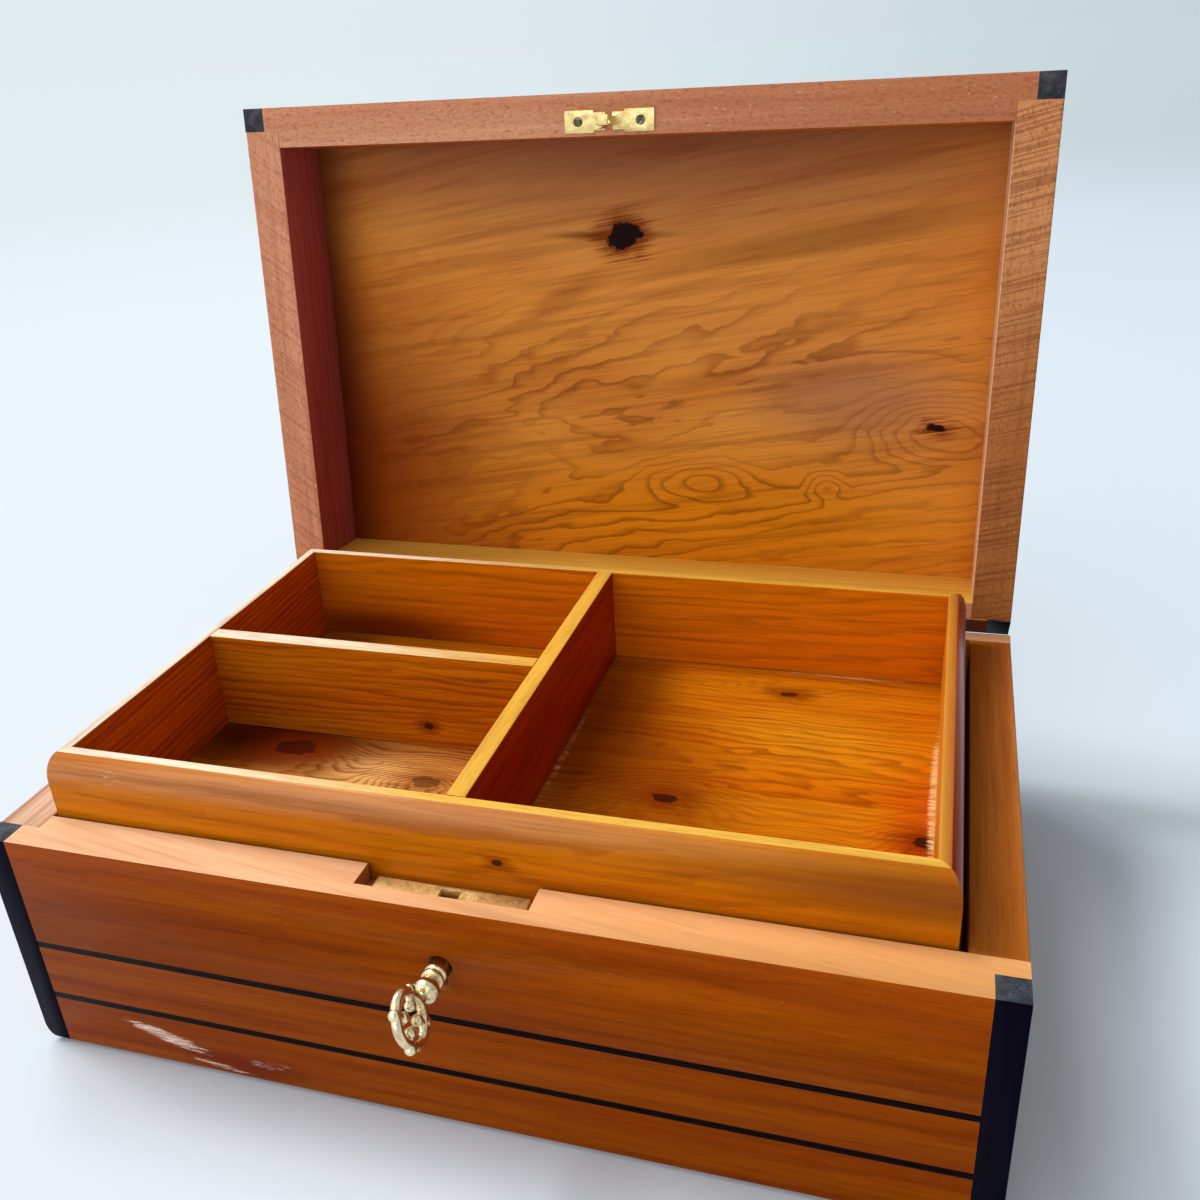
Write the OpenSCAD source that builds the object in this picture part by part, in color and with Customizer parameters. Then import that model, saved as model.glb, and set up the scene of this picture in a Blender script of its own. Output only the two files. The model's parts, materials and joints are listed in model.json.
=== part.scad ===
// Hinged wooden keepsake box with inlaid black corners and lines, a lift-out divided
// tray, stop hinges and a small link-plate lock with its key.
// Millimetres. +Z is up, the front faces -Y, and the origin is the centre of the
// underside. At rest the lid stands open, the tray is in place and the key is in the lock.

/* [Carcass] */
// Width of the box, left to right
box_w = 300; // [260:1:360]
// Depth of the base and of the lid, front to back
box_d = 196.5; // [170:0.5:240]
// Height of the base, underside to rim
base_h = 82; // [74:1:110]
// Thickness of the boards round the base and the lid
wall = 14.4; // [13.5:0.1:18]
// Side of the square black corner posts
post = 8.4; // [8.2:0.1:9.4]
// Thickness of the bottom panel and of the lid panel
panel_t = 6; // [4:0.5:8]
// Radius on the outer edges of the two ends, under the base and on top of the lid
end_round = 7; // [2:0.5:8]
// Radius on the long outer edges, under the base and on top of the lid
long_round = 2.5; // [1:0.5:4]

/* [Black lines] */
// Height of an inlaid line
line_h = 2.4; // [1:0.1:3]
// Depth of an inlaid line
line_depth = 2; // [1:0.1:3]
// Drop from the rim to the top of the upper line
line_upper = 38.6; // [34:0.1:44]
// Drop from the rim to the top of the lower line
line_lower = 59.5; // [50:0.1:66]

/* [Lid] */
// Depth of the hollow inside the lid
lid_hollow = 30; // [26:0.5:45]
// Angle the lid stands open at, on its stop
lid_open = 96; // [90:0.5:105]
// Width and height of the bevel along the back of both rims
back_bevel = 8; // [7:0.1:8]

/* [Tray] */
// Free space between the tray and the box, left and right together
tray_play_x = 3.2; // [2.6:0.1:5]
// Free space between the tray and the box, front and back together
tray_play_y = 3.3; // [2.6:0.1:5]
// Sideways place of the tray within its play
tray_shift_x = -0.7; // [-0.9:0.1:0.9]
// Front-to-back place of the tray within its play
tray_shift_y = -0.4; // [-0.4:0.1:0.6]
// Height of the tray above the rim
tray_rise = 21.5; // [16:0.5:23]
// Depth of the tray below the rim
tray_sink = 19.5; // [14:0.5:26]
// Thickness of the tray's walls
tray_wall = 6.6; // [5.6:0.1:9]
// Width of the rounding on the tray's outer top edges
tray_round_w = 4.2; // [3.4:0.1:5]
// Height of the rounding on the tray's outer top edges
tray_round_h = 10; // [8:0.5:14]
// Thickness of the tray's floor
tray_floor_t = 4.2; // [3:0.1:6]
// How far the tray's floor runs in under its walls
tray_floor_let = 3; // [2:0.1:4]
// Thickness of the tray's partitions
partition_t = 6; // [4:0.1:8]
// Sideways place of the long partition from the tray's middle
partition_x = -0.9; // [-30:0.1:30]
// Front-to-back place of the cross partition from the tray's middle
partition_y = 1.5; // [-30:0.1:30]
// Width of the ledges that carry the tray
ledge_w = 6; // [4:0.5:10]
// Height of the ledges
ledge_h = 8; // [5:0.5:14]
// Length of the ledges
ledge_l = 150; // [80:1:160]

/* [Hinges] */
// Distance of the hinge line from the back of the box
hinge_inset = 4.6; // [4.4:0.1:5]
// Distance of each hinge's middle from its end of the box
hinge_x = 55; // [36:1:70]
// Length of a hinge
hinge_l = 38; // [30:1:50]
// Width of a leaf, from its edge to the hinge line
leaf_w = 8.4; // [7.6:0.1:9]
// Thickness of a leaf
leaf_t = 1.1; // [0.8:0.1:1.4]
// Outer radius of the knuckles
knuckle_r = 1.9; // [1.6:0.05:2]
// Radius of the hinge pins
hinge_pin_r = 0.85; // [0.6:0.05:1]
// Radius of the hinge screws' heads
hinge_screw_head_r = 1.6; // [1.3:0.1:1.8]
// Length of the hinge screws
hinge_screw_l = 8; // [5:0.5:12]

/* [Lock] */
// Sideways place of the lock
lock_x = -1.9; // [-60:0.1:60]
// Length of the lock's plates beyond the case, both ends together
lock_l = 6; // [6:0.2:16]
// Free length of the rim recess past each end of the top plate
recess_margin = 2.8; // [1:0.1:5]
// Wood left in front of the rim recess
recess_front = 5.4; // [4.6:0.1:5.6]
// Drop from the rim to the lock's top plate
plate_drop = 4.2; // [3.6:0.1:4.6]
// Thickness of the top plate
top_plate_t = 1.5; // [1:0.1:2]
// Thickness of the back plate
back_plate_t = 1.2; // [0.8:0.1:1.6]
// Height of the back plate
back_plate_h = 31; // [30:0.5:33]
// Length of the case
case_l = 40; // [36:0.5:50]
// Height of the case
case_h = 25.3; // [24:0.1:28]
// Depth of the case, front to back
case_d = 7; // [6.6:0.1:7.4]
// Thickness of the case's sheet
case_t = 1; // [0.7:0.1:1.1]
// Drop from the rim to the key's axis
key_drop = 20; // [19.8:0.1:20.5]
// Distance of the link, the bolt and the key's bit from the front of the box
link_y = 9.6; // [9.4:0.1:9.8]
// Length of the hole that takes the link
link_hole_l = 6.1; // [5.4:0.1:7]
// Free space in the hole in front of the link
link_hole_gap = 0.6; // [0.6:0.1:1.2]
// Travel of the bolt
bolt_travel = 5.2; // [4.8:0.1:6.2]
// Thickness of the bolt
bolt_t = 1.5; // [1.2:0.1:1.6]
// Radius of the pin that the key slides on
key_pin_r = 1.25; // [1:0.05:1.5]
// Radius of the stud that guides the bolt
stud_r = 0.8; // [0.6:0.05:0.9]
// Thickness of the bolt's spring
spring_t = 0.4; // [0.2:0.05:0.6]
// Radius of the lock screws' heads
lock_screw_head_r = 1.4; // [1.2:0.1:1.5]
// Length of the lock screws
lock_screw_l = 8; // [5:0.5:8.5]
// Radius of the rivets that hold the case to the back plate
rivet_r = 0.9; // [0.6:0.05:1.1]

/* [Striker] */
// Length of the striker plate
striker_l = 33.2; // [30:0.1:38]
// Width of the striker plate
striker_w = 7.6; // [7:0.1:7.8]
// Width of the striker plate's waist
striker_waist_w = 6; // [5:0.1:7]
// Thickness of the striker plate
striker_t = 1; // [0.8:0.1:1.6]
// Length of the link that hangs from the striker, from the lid's rim
link_drop = 10.5; // [10:0.1:10.6]
// Length of the link, along the rim
link_l = 4.4; // [3.6:0.1:4.6]
// Width of the link, across the rim
link_w = 3.4; // [3.2:0.1:4]
// Thickness of the link's strip
link_t = 0.9; // [0.7:0.1:1]
// Distance between the striker's screws
striker_screw_pitch = 23.2; // [20:0.1:26]
// Radius of the striker screws' heads
striker_screw_head_r = 1.7; // [1.4:0.1:2]

/* [Key] */
// Radius of the key's shank
shank_r = 2.4; // [2:0.1:2.8]
// Distance from the front of the box to the middle of the bow
bow_reach = 19.4; // [19:0.5:26]
// Radius of the two rings on the shank
ring_r = 3.4; // [2.7:0.1:3.8]
// Greatest radius of the baluster
baluster_r = 3.9; // [2.8:0.1:4.2]
// Radius of the bow's bars
bar_r = 1.45; // [1:0.05:1.8]
// Radius of the beads in and round the bow
bead_r = 1.7; // [1.1:0.05:2.1]
// Reach of the bow's upper and lower lobes, to the middle of the bar
bow_half_h = 7.8; // [7.4:0.1:9.4]
// Reach of the bow's inner and outer lobes, to the middle of the bar
bow_half_l = 6; // [5.6:0.1:7.2]
// Height of the bow's corners above the axis
bow_corner_h = 5; // [4.7:0.1:5.8]
// Reach of the bow's corners along the axis
bow_corner_l = 4; // [3.8:0.1:4.8]
// Turn of the key at rest, in degrees, from the way it slides in and out
key_rest_turn = 16; // [0:1:20]
// Reach of the key's bit from its axis
bit_reach = 6.5; // [6.2:0.1:6.6]
// Thickness of the key's bit
bit_t = 2; // [1.6:0.1:2.2]
// Width of the key's bit along the shank
bit_w = 2.2; // [1.8:0.1:2.4]
// Radius of the round part of the keyhole
keyhole_r = 3.8; // [3.6:0.1:4.4]
// Drop from the key's axis to the foot of the keyhole's slot
keyhole_slot_drop = 8.3; // [7.6:0.1:8.6]
// Width of the keyhole's slot
keyhole_slot_w = 4; // [3.2:0.1:4.4]

/* [Hidden] */
$fn = 48;
// Overshoot of a cut past the face that it opens
eps = 0.5;
// Gap between faces of different bodies that lie against each other at rest
seat_gap = 0.25;
// Gap between the rim of the base and the rim of the closed lid
rim_gap = 0.2;
// Radial clearance of a pin in a bore that turns or slides on it
run_gap = 0.05;
// Free space round moving pieces inside the lock
lock_gap = 0.4;

hw = box_w / 2;
hd = box_d / 2;
hinge_mid_x = hw - hinge_x;
inner_x = hw - wall;
inner_y = hd - wall;
// Depth of the corner rabbets, and of the rebate that takes a panel
rabbet = wall - post;
rebate = rabbet * 2 / 3;
lid_h = lid_hollow + panel_t;

// The screws that hold the hinges and the striker
wood_screw_r = 0.8;
striker_screw_l = 9;
// Length of the striker's waist beyond each end of the link
striker_waist_end = 3.5;

// The hinge line
axis_y = hd - hinge_inset;
axis_z = base_h + rim_gap / 2;
knuckles = 5;
knuckle_gap = 0.3;
knuckle_l = (hinge_l - (knuckles - 1) * knuckle_gap) / knuckles;
// Distance of a leaf's face, flush with its rim, from the hinge line
leaf_gap = rim_gap / 2;
leaf_bed = leaf_t + leaf_gap;
// Distance of the screws from the leaf's inner edge
leaf_screw_y = 2.7;
hinge_screw_pitch = hinge_l / 3;

// The tray
tray_w = 2 * inner_x - tray_play_x;
tray_d = 2 * inner_y - tray_play_y;
tray_h = tray_rise + tray_sink;
tray_z = base_h - tray_sink;
round_steps = 8;

// The lock, measured from the front face, the rim and the lock's middle
plate_half_l = (case_l + lock_l) / 2;
plate_floor = plate_drop + top_plate_t;
case_back = wall - back_plate_t;
case_front = case_back - case_d;
case_foot = plate_floor + case_h;
lock_screw_r = 0.75;
lock_screw_x = (plate_half_l + case_l / 2) / 2;
// Distance of the lock's screws from the top plate and from the foot of the back plate
lock_screw_edge = 3.2;
lock_screw_z = [plate_floor + lock_screw_edge, plate_drop + back_plate_h - lock_screw_edge];
// Distance of the rivets from the edges of the case
rivet_edge = 2.8;
rivet_x = case_l / 2 - rivet_edge;
rivet_low = case_foot - rivet_edge;
rivet_high = plate_floor + rivet_edge;
key_pin_l = case_d - case_t;

// The bolt, measured from the lock's middle and the rim, with the bolt drawn back
link_wall = 0.6;
link_eye_gap = 0.8;
link_eye_top = plate_floor + link_eye_gap;
link_eye_foot = link_drop - link_wall;
// Free space between the link and each face of the bolt
link_bolt_gap = 0.3;
nose_top = link_eye_top + lock_gap;
nose_foot = link_eye_foot - lock_gap;
nose_tip = -link_l / 2 - lock_gap;
arm_x = nose_tip - bolt_travel - lock_gap;
arm_w = 3.6;
// Least width of metal round the openings in the bolt
bolt_web = 1;
bolt_left = arm_x - arm_w - 3 * bolt_web;
bolt_top = link_drop + lock_gap;
// Height of the bolt's foot above the key's axis
bolt_rise = 4.3;
bolt_foot = key_drop - bolt_rise;
// The talon is the notch that the bit works in. It spans the bit's whole sweep, and the
// bolt has gone this share of its travel, at most, when the bit leaves it
bit_half_sweep = sqrt(pow(bit_reach, 2) + pow(bit_t / 2, 2) - pow(bolt_rise, 2));
sweep_share = 0.62;
rest_share = key_rest_turn / 360;
talon_top = key_drop - bit_reach - lock_gap;
talon_left = -bit_half_sweep - bolt_travel * (1 - sweep_share + rest_share) - lock_gap;
talon_right = bit_half_sweep - bolt_travel * (sweep_share + rest_share) + lock_gap;
// The slot that the stud stands in, and the end of the bolt past it
slot_r = stud_r + run_gap;
stud_x = talon_right + bolt_web + slot_r + bolt_travel;
stud_z = (bolt_top + talon_top) / 2;
bolt_right = stud_x + slot_r + bolt_web;
spring_r = (bolt_top - plate_floor - seat_gap) * 0.75;
spring_x = bolt_right - spring_r;

// The key, measured from the front face along its shank, outwards negative
key_in = case_back - 0.3;
ring_y = [-2.8, -4.8];
ring_bar_r = 1;
neck_r = 1.45;
// The baluster swells from the rings to its shoulder and falls to the neck. Each pair is a
// distance along the shank and the radius there
baluster_y = -9.4;
baluster = [[-5.5, shank_r], [-8, baluster_r * 0.9], [baluster_y, baluster_r],
            [-10.6, baluster_r * 0.86], [-11.5, neck_r]];
// Place of the beads beyond the bow's corners, and of the inner ones, as shares of the
// corners' own places
bead_out = 0.7;
bead_in = [0.56, 0.5];
// The bow's lobes are arcs through the corners, and these are their radii
lobe_rise = bow_half_h - bow_corner_h;
lobe_h_r = (pow(bow_corner_l, 2) + pow(lobe_rise, 2)) / (2 * lobe_rise);
lobe_run = bow_half_l - bow_corner_l;
lobe_l_r = (pow(bow_corner_h, 2) + pow(lobe_run, 2)) / (2 * lobe_run);

WOOD = "#a8601c";
RIM_WOOD = "#b5733c";
TRAY_WOOD = "#c77a22";
BLACK = "#17151a";
BRASS = "#c9a94f";
STEEL = "#8d8d8d";

// ---------------------------------------------------------------- helpers

// A box given by its two opposite corners
module span(a, b) {
    translate(a)
        cube(b - a);
}

// The waste outside a rounded edge of radius r that runs along Z through the origin,
// with the wood in the quarter where x and y are positive
module edge_waste(r, l) {
    linear_extrude(l, center = true)
        difference() {
            translate([-eps, -eps])
                square(r + eps);
            translate([r, r])
                circle(r);
        }
}

// A countersunk screw along Z, head up, with the top of its head at the origin
module screw(head_r, shank_r, l) {
    translate([0, 0, -head_r + shank_r])
        cylinder(h = head_r - shank_r, r1 = shank_r, r2 = head_r);
    translate([0, 0, -l])
        cylinder(h = l - head_r + shank_r, r = shank_r);
}

// Puts a piece drawn with the lid closed where the open lid has it
module on_lid() {
    translate([0, axis_y, axis_z])
        rotate([-lid_open, 0, 0])
            translate([0, -axis_y, -axis_z])
                children();
}

// Turns a shell drawn with its rim up at height lid_h into the closed lid
module lid_shell() {
    on_lid()
        translate([0, 0, base_h + rim_gap + lid_h])
            mirror([0, 0, 1])
                children();
}

// Puts lock pieces, drawn from the front face, the rim and the lock's middle
module in_lock() {
    translate([lock_x, -hd, base_h])
        children();
}

// The same for what the lid carries, measured from the rim of the lid
module in_striker() {
    on_lid()
        translate([0, 0, rim_gap])
            in_lock()
                children();
}

// ------------------------------------------------- shell shared by base and lid
// Both shells are drawn with the panel's outer face at z = 0 and the rim at z = h

// The waste of the bevel along the back of a rim
module bevel_waste(h) {
    rotate([90, 0, 90])
        linear_extrude(box_w + 2 * eps, center = true)
            polygon([[hd + eps, h + eps], [hd - back_bevel - eps, h + eps], [hd + eps, h - back_bevel - eps]]);
}

// The panel, which fills the rebate under the boards
module shell_panel() {
    span([-inner_x - rebate, -inner_y - rebate, 0], [inner_x + rebate, inner_y + rebate, panel_t]);
}

// The front board, or with back set the back board. Its ends have rabbets for the end
// boards, but with through set the right end runs out behind the post to the end of the box
module long_board(h, back, through = false) {
    mirror([0, back ? 1 : 0, 0])
        difference() {
            span([-hw + post, -hd, 0], [through ? hw : hw - post, -inner_y, h]);
            for (right = through ? [0] : [0, 1])
                mirror([right, 0, 0])
                    span([-hw, -inner_y - rabbet, -eps], [-inner_x, -inner_y + eps, h + eps]);
            span([-hw, -inner_y - rebate, -eps], [inner_x + rebate, -inner_y + eps, panel_t]);
            if (through) {
                span([hw - post, -hd - eps, -eps], [hw + eps, -hd + post, h + eps]);
                translate([hw, 0, 0])
                    rotate([90, 0, 180])
                        edge_waste(end_round, box_d + 2 * eps);
            }
            translate([0, -hd, 0])
                rotate([0, -90, 0])
                    edge_waste(long_round, box_w + 2 * eps);
        }
}

// The left board, or with right set the right board, its ends in the rabbets of the long
// boards, or with between set cut short to stand between them
module end_board(h, right, between = false) {
    half = between ? inner_y : hd - post;
    mirror([right ? 1 : 0, 0, 0])
        difference() {
            span([-hw, -half, 0], [-inner_x, half, h]);
            span([-inner_x - rebate, -inner_y - rebate, -eps],
                 [-inner_x + eps, inner_y + rebate, panel_t]);
            translate([-hw, 0, 0])
                rotate([90, 0, 0])
                    edge_waste(end_round, box_d);
        }
}

// A corner post. sx is -1 on the left, sy is -1 at the front
module shell_post(h, sx, sy) {
    mirror([sx > 0 ? 1 : 0, 0, 0])
        difference() {
            if (sy < 0)
                span([-hw, -hd, 0], [-hw + post, -hd + post, h]);
            else
                span([-hw, hd - post, 0], [-hw + post, hd, h]);
            translate([-hw, 0, 0])
                rotate([90, 0, 0])
                    edge_waste(end_round, box_d + 2 * eps);
            translate([0, sy * hd, 0])
                mirror([0, sy > 0 ? 1 : 0, 0])
                    rotate([0, -90, 0])
                        edge_waste(long_round, box_w + 2 * eps);
            if (sy > 0)
                bevel_waste(h);
        }
}

// The two lines on one side: half is the half length, out the distance to the outer face
module side_lines(half, out, grow) {
    for (drop = [line_upper, line_lower])
        span([-half - grow, -out - grow, base_h - drop - line_h],
             [half + grow, -out + line_depth, base_h - drop]);
}

// The lines on the front, and mirrored the lines on the back
module long_lines(grow = 0) {
    side_lines(hw - post, hd, grow);
}

// Puts on the right end what is drawn for the left
module right_end() {
    mirror([1, 0, 0])
        children();
}

// The lines on the left, and mirrored the lines on the right
module end_lines(grow = 0) {
    rotate([0, 0, -90])
        side_lines(hd - post, hw, grow);
}

// ---------------------------------------------------------------- base

// The keyhole, cut along Y between two distances from the front face
module keyhole(y0, y1) {
    translate([0, y1, -key_drop])
        rotate([90, 0, 0])
            cylinder(h = y1 - y0, r = keyhole_r);
    span([-keyhole_slot_w / 2, y0, -key_drop - keyhole_slot_drop],
         [keyhole_slot_w / 2, y1, -key_drop]);
}

// All that is cut from the front board for the lock
module lock_cuts() {
    recess_half = plate_half_l + recess_margin;
    span([-recess_half, recess_front, -plate_floor], [recess_half, wall + eps, eps]);
    span([-plate_half_l, case_back, -plate_drop - back_plate_h], [plate_half_l, wall + eps, 0]);
    span([-case_l / 2, case_front, -case_foot], [case_l / 2, wall, 0]);
    keyhole(-eps, case_front + eps);
    lock_screw_places()
        screw(lock_screw_head_r, lock_screw_r, lock_screw_l);
}

module front_board() {
    color(WOOD)
        difference() {
            long_board(base_h, false, through = true);
            long_lines(eps);
            right_end()
                end_lines(eps);
            in_lock()
                lock_cuts();
        }
}

module back_board() {
    color(WOOD)
        difference() {
            long_board(base_h, true, through = true);
            mirror([0, 1, 0])
                long_lines(eps);
            right_end()
                end_lines(eps);
            bevel_waste(base_h);
            hinge_beds();
        }
}

module left_board() {
    color(WOOD)
        difference() {
            end_board(base_h, false);
            end_lines(eps);
        }
}

module right_board() {
    color(WOOD)
        difference() {
            end_board(base_h, true, between = true);
            right_end()
                end_lines(eps);
        }
}

module base_post(sx, sy) {
    color(BLACK)
        shell_post(base_h, sx, sy);
}

module bottom_panel() {
    color(WOOD)
        shell_panel();
}

module front_lines() {
    color(BLACK)
        long_lines();
}

module back_lines() {
    color(BLACK)
        mirror([0, 1, 0])
            long_lines();
}

module left_lines() {
    color(BLACK)
        end_lines();
}

module right_lines() {
    color(BLACK)
        right_end()
            end_lines();
}

// A ledge on the left, or with right set on the right. The tray stands on it
module ledge(right) {
    top = tray_z - seat_gap;
    color(TRAY_WOOD)
        mirror([right ? 1 : 0, 0, 0])
            span([-inner_x, -ledge_l / 2, top - ledge_h], [-inner_x + ledge_w, ledge_l / 2, top]);
}

// ---------------------------------------------------------------- lid

module lid_front_board() {
    color(RIM_WOOD)
        difference() {
            lid_shell()
                long_board(lid_h, false);
            in_striker()
                striker_screw_places()
                    screw(striker_screw_head_r, wood_screw_r, striker_screw_l);
        }
}

module lid_back_board() {
    color(RIM_WOOD)
        difference() {
            lid_shell()
                difference() {
                    long_board(lid_h, true);
                    bevel_waste(lid_h);
                }
            on_lid()
                lid_side()
                    hinge_beds();
        }
}

module lid_end_board(right) {
    color(RIM_WOOD)
        lid_shell()
            end_board(lid_h, right);
}

module lid_post(sx, sy) {
    color(BLACK)
        lid_shell()
            shell_post(lid_h, sx, sy);
}

module lid_panel() {
    color(WOOD)
        lid_shell()
            shell_panel();
}

// ---------------------------------------------------------------- hinges

// Mirrors a base piece of the hinges to the lid's side of the rims, with the lid closed
module lid_side() {
    translate([0, 0, axis_z])
        mirror([0, 0, 1])
            translate([0, 0, -axis_z])
                children();
}

// Where the base's hinge screws go
module hinge_screw_places() {
    for (side = [-1, 1])
        for (i = [-1, 0, 1])
            translate([side * hinge_mid_x + i * hinge_screw_pitch, axis_y - leaf_w + leaf_screw_y, axis_z - leaf_gap])
                children();
}

// All that is cut from the back board for the hinges
module hinge_beds() {
    for (side = [-1, 1])
        translate([side * hinge_mid_x, axis_y, axis_z])
            span([-hinge_l / 2, -leaf_w, -leaf_bed], [hinge_l / 2, 0, eps]);
    hinge_screw_places()
        screw(hinge_screw_head_r, wood_screw_r, hinge_screw_l);
}

// A leaf on the base's side with every second knuckle, starting with knuckle first
module leaf(x, first) {
    translate([x, axis_y, axis_z])
        difference() {
            union() {
                span([-hinge_l / 2, -leaf_w, -leaf_bed],
                     [hinge_l / 2, -knuckle_r - knuckle_gap, -leaf_gap]);
                for (i = [first : 2 : knuckles - 1]) {
                    from = -hinge_l / 2 + i * (knuckle_l + knuckle_gap);
                    span([from, -knuckle_r - knuckle_gap - eps, -leaf_bed], [from + knuckle_l, 0, -leaf_gap]);
                    translate([from, 0, 0])
                        rotate([0, 90, 0])
                            cylinder(h = knuckle_l, r = knuckle_r);
                }
            }
            translate([-hinge_l / 2 - eps, 0, 0])
                rotate([0, 90, 0])
                    cylinder(h = hinge_l + 2 * eps, r = hinge_pin_r + run_gap);
            for (i = [-1, 0, 1])
                translate([i * hinge_screw_pitch, -leaf_w + leaf_screw_y, -leaf_gap])
                    screw(hinge_screw_head_r, wood_screw_r, hinge_screw_l);
        }
}

module base_leaf(side) {
    color(BRASS)
        leaf(side * hinge_mid_x, 0);
}

module lid_leaf(side) {
    color(BRASS)
        on_lid()
            lid_side()
                leaf(side * hinge_mid_x, 1);
}

module hinge_pin(side) {
    color(STEEL)
        translate([side * hinge_mid_x - hinge_l / 2, axis_y, axis_z])
            rotate([0, 90, 0])
                cylinder(h = hinge_l, r = hinge_pin_r);
}

module hinge_base_screws() {
    color(BRASS)
        hinge_screw_places()
            screw(hinge_screw_head_r, wood_screw_r, hinge_screw_l);
}

module hinge_lid_screws() {
    color(BRASS)
        on_lid()
            lid_side()
                hinge_base_screws();
}

// ---------------------------------------------------------------- lock

// Where the lock's screws go, with their heads in the face of the back plate
module lock_screw_places() {
    for (side = [-1, 1])
        for (drop = lock_screw_z)
            translate([side * lock_screw_x, wall, -drop])
                rotate([-90, 0, 0])
                    children();
}

// Places of the rivets. One upper place is left free for the bolt's spring
module rivet_places() {
    for (place = [[-rivet_x, rivet_high], [-rivet_x, rivet_low], [rivet_x, rivet_low]])
        translate([place[0], 0, -place[1]])
            children();
}

// A pin along Y between two distances from the front face
module y_pin(y0, y1, r) {
    translate([0, y1, 0])
        rotate([90, 0, 0])
            cylinder(h = y1 - y0, r = r);
}

module lock_plate() {
    color(BRASS)
        in_lock()
            difference() {
                union() {
                    span([-plate_half_l, recess_front, -plate_floor], [plate_half_l, wall, -plate_drop]);
                    span([-plate_half_l, case_back, -plate_drop - back_plate_h], [plate_half_l, wall, -plate_drop]);
                }
                span([-link_hole_l / 2, link_y - link_w / 2 - link_hole_gap, -plate_floor - eps],
                     [link_hole_l / 2, case_back, -plate_drop + eps]);
                lock_screw_places()
                    screw(lock_screw_head_r, lock_screw_r, lock_screw_l);
                rivet_places()
                    y_pin(case_back - eps, wall + eps, rivet_r);
                translate([0, 0, -key_drop])
                    y_pin(case_back - eps, wall + eps, key_pin_r);
                translate([stud_x, 0, -stud_z])
                    y_pin(case_back - eps, wall + eps, stud_r);
            }
}

module lock_case() {
    color(BRASS)
        in_lock()
            difference() {
                span([-case_l / 2, case_front, -case_foot], [case_l / 2, case_back, -plate_floor]);
                span([-case_l / 2 + case_t, case_front + case_t, -case_foot + case_t],
                     [case_l / 2 - case_t, case_back + eps, -plate_floor + eps]);
                keyhole(case_front - eps, case_front + case_t + eps);
                rivet_places()
                    y_pin(case_front - eps, case_front + case_t + eps, rivet_r);
            }
}

module lock_key_pin() {
    color(STEEL)
        in_lock()
            translate([0, 0, -key_drop])
                y_pin(case_back - key_pin_l, wall, key_pin_r);
}

module lock_stud() {
    color(STEEL)
        in_lock()
            translate([stud_x, 0, -stud_z])
                y_pin(case_front + case_t, wall, stud_r);
}

module lock_rivets() {
    color(BRASS)
        in_lock()
            rivet_places()
                y_pin(case_front, wall, rivet_r);
}

module lock_screws() {
    color(BRASS)
        in_lock()
            lock_screw_places()
                screw(lock_screw_head_r, lock_screw_r, lock_screw_l);
}

// A flat bar of the bolt's thickness, given by its corners in x and drop
module bolt_bar(x0, x1, drop0, drop1) {
    span([x0, link_y - bolt_t / 2, -drop1], [x1, link_y + bolt_t / 2, -drop0]);
}

module lock_bolt() {
    color(STEEL)
        in_lock()
            difference() {
                union() {
                    bolt_bar(bolt_left, bolt_right, bolt_top, bolt_foot);
                    bolt_bar(arm_x - arm_w, arm_x, nose_top, bolt_top + eps);
                    bolt_bar(arm_x - eps, nose_tip, nose_top, nose_foot);
                }
                span([talon_left, 0, -bolt_foot - eps], [talon_right, wall, -talon_top]);
                for (x = [stud_x - bolt_travel, stud_x])
                    translate([x, 0, -stud_z])
                        y_pin(0, wall, slot_r);
                span([stud_x - bolt_travel, 0, -stud_z - slot_r], [stud_x, wall, -stud_z + slot_r]);
            }
}

// A bow spring that stands on the bolt and bears up against the top plate
module bolt_spring() {
    color(STEEL)
        in_lock()
            translate([spring_x, link_y, -plate_floor - seat_gap - spring_r])
                difference() {
                    rotate([90, 0, 0])
                        cylinder(h = bolt_t, r = spring_r, center = true);
                    rotate([90, 0, 0])
                        cylinder(h = bolt_t + 2 * eps, r = spring_r - spring_t, center = true);
                    translate([0, 0, plate_floor + seat_gap + spring_r - bolt_top - spring_r])
                        cube([3 * spring_r, 2 * bolt_t, 2 * spring_r], center = true);
                }
}

// ---------------------------------------------------------------- striker

// Where the striker's screws go on the closed lid, heads down
module striker_screw_places() {
    for (side = [-1, 1])
        translate([side * striker_screw_pitch / 2, link_y, -striker_t])
            mirror([0, 0, 1])
                children();
}

module striker() {
    waist_half = link_l / 2 + striker_waist_end;
    color(BRASS)
        in_striker()
            difference() {
                union() {
                    span([-striker_l / 2, link_y - striker_w / 2, -striker_t],
                         [striker_l / 2, link_y + striker_w / 2, 0]);
                    span([-link_l / 2, link_y - link_w / 2, -link_drop],
                         [link_l / 2, link_y + link_w / 2, -striker_t / 2]);
                }
                for (side = [-1, 1])
                    translate([0, link_y + side * striker_w / 2, 0])
                        cube([2 * waist_half, striker_w - striker_waist_w, 3 * striker_t], center = true);
                span([-link_l / 2 + link_t, 0, -link_drop + link_t], [link_l / 2 - link_t, wall, eps]);
                span([-link_l, link_y - bolt_t / 2 - link_bolt_gap, -link_eye_foot],
                     [link_l, link_y + bolt_t / 2 + link_bolt_gap, -link_eye_top]);
                striker_screw_places()
                    screw(striker_screw_head_r, wood_screw_r, striker_screw_l);
            }
}

module striker_screws() {
    color(BRASS)
        in_striker()
            striker_screw_places()
                screw(striker_screw_head_r, wood_screw_r, striker_screw_l);
}

// ---------------------------------------------------------------- key

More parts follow.
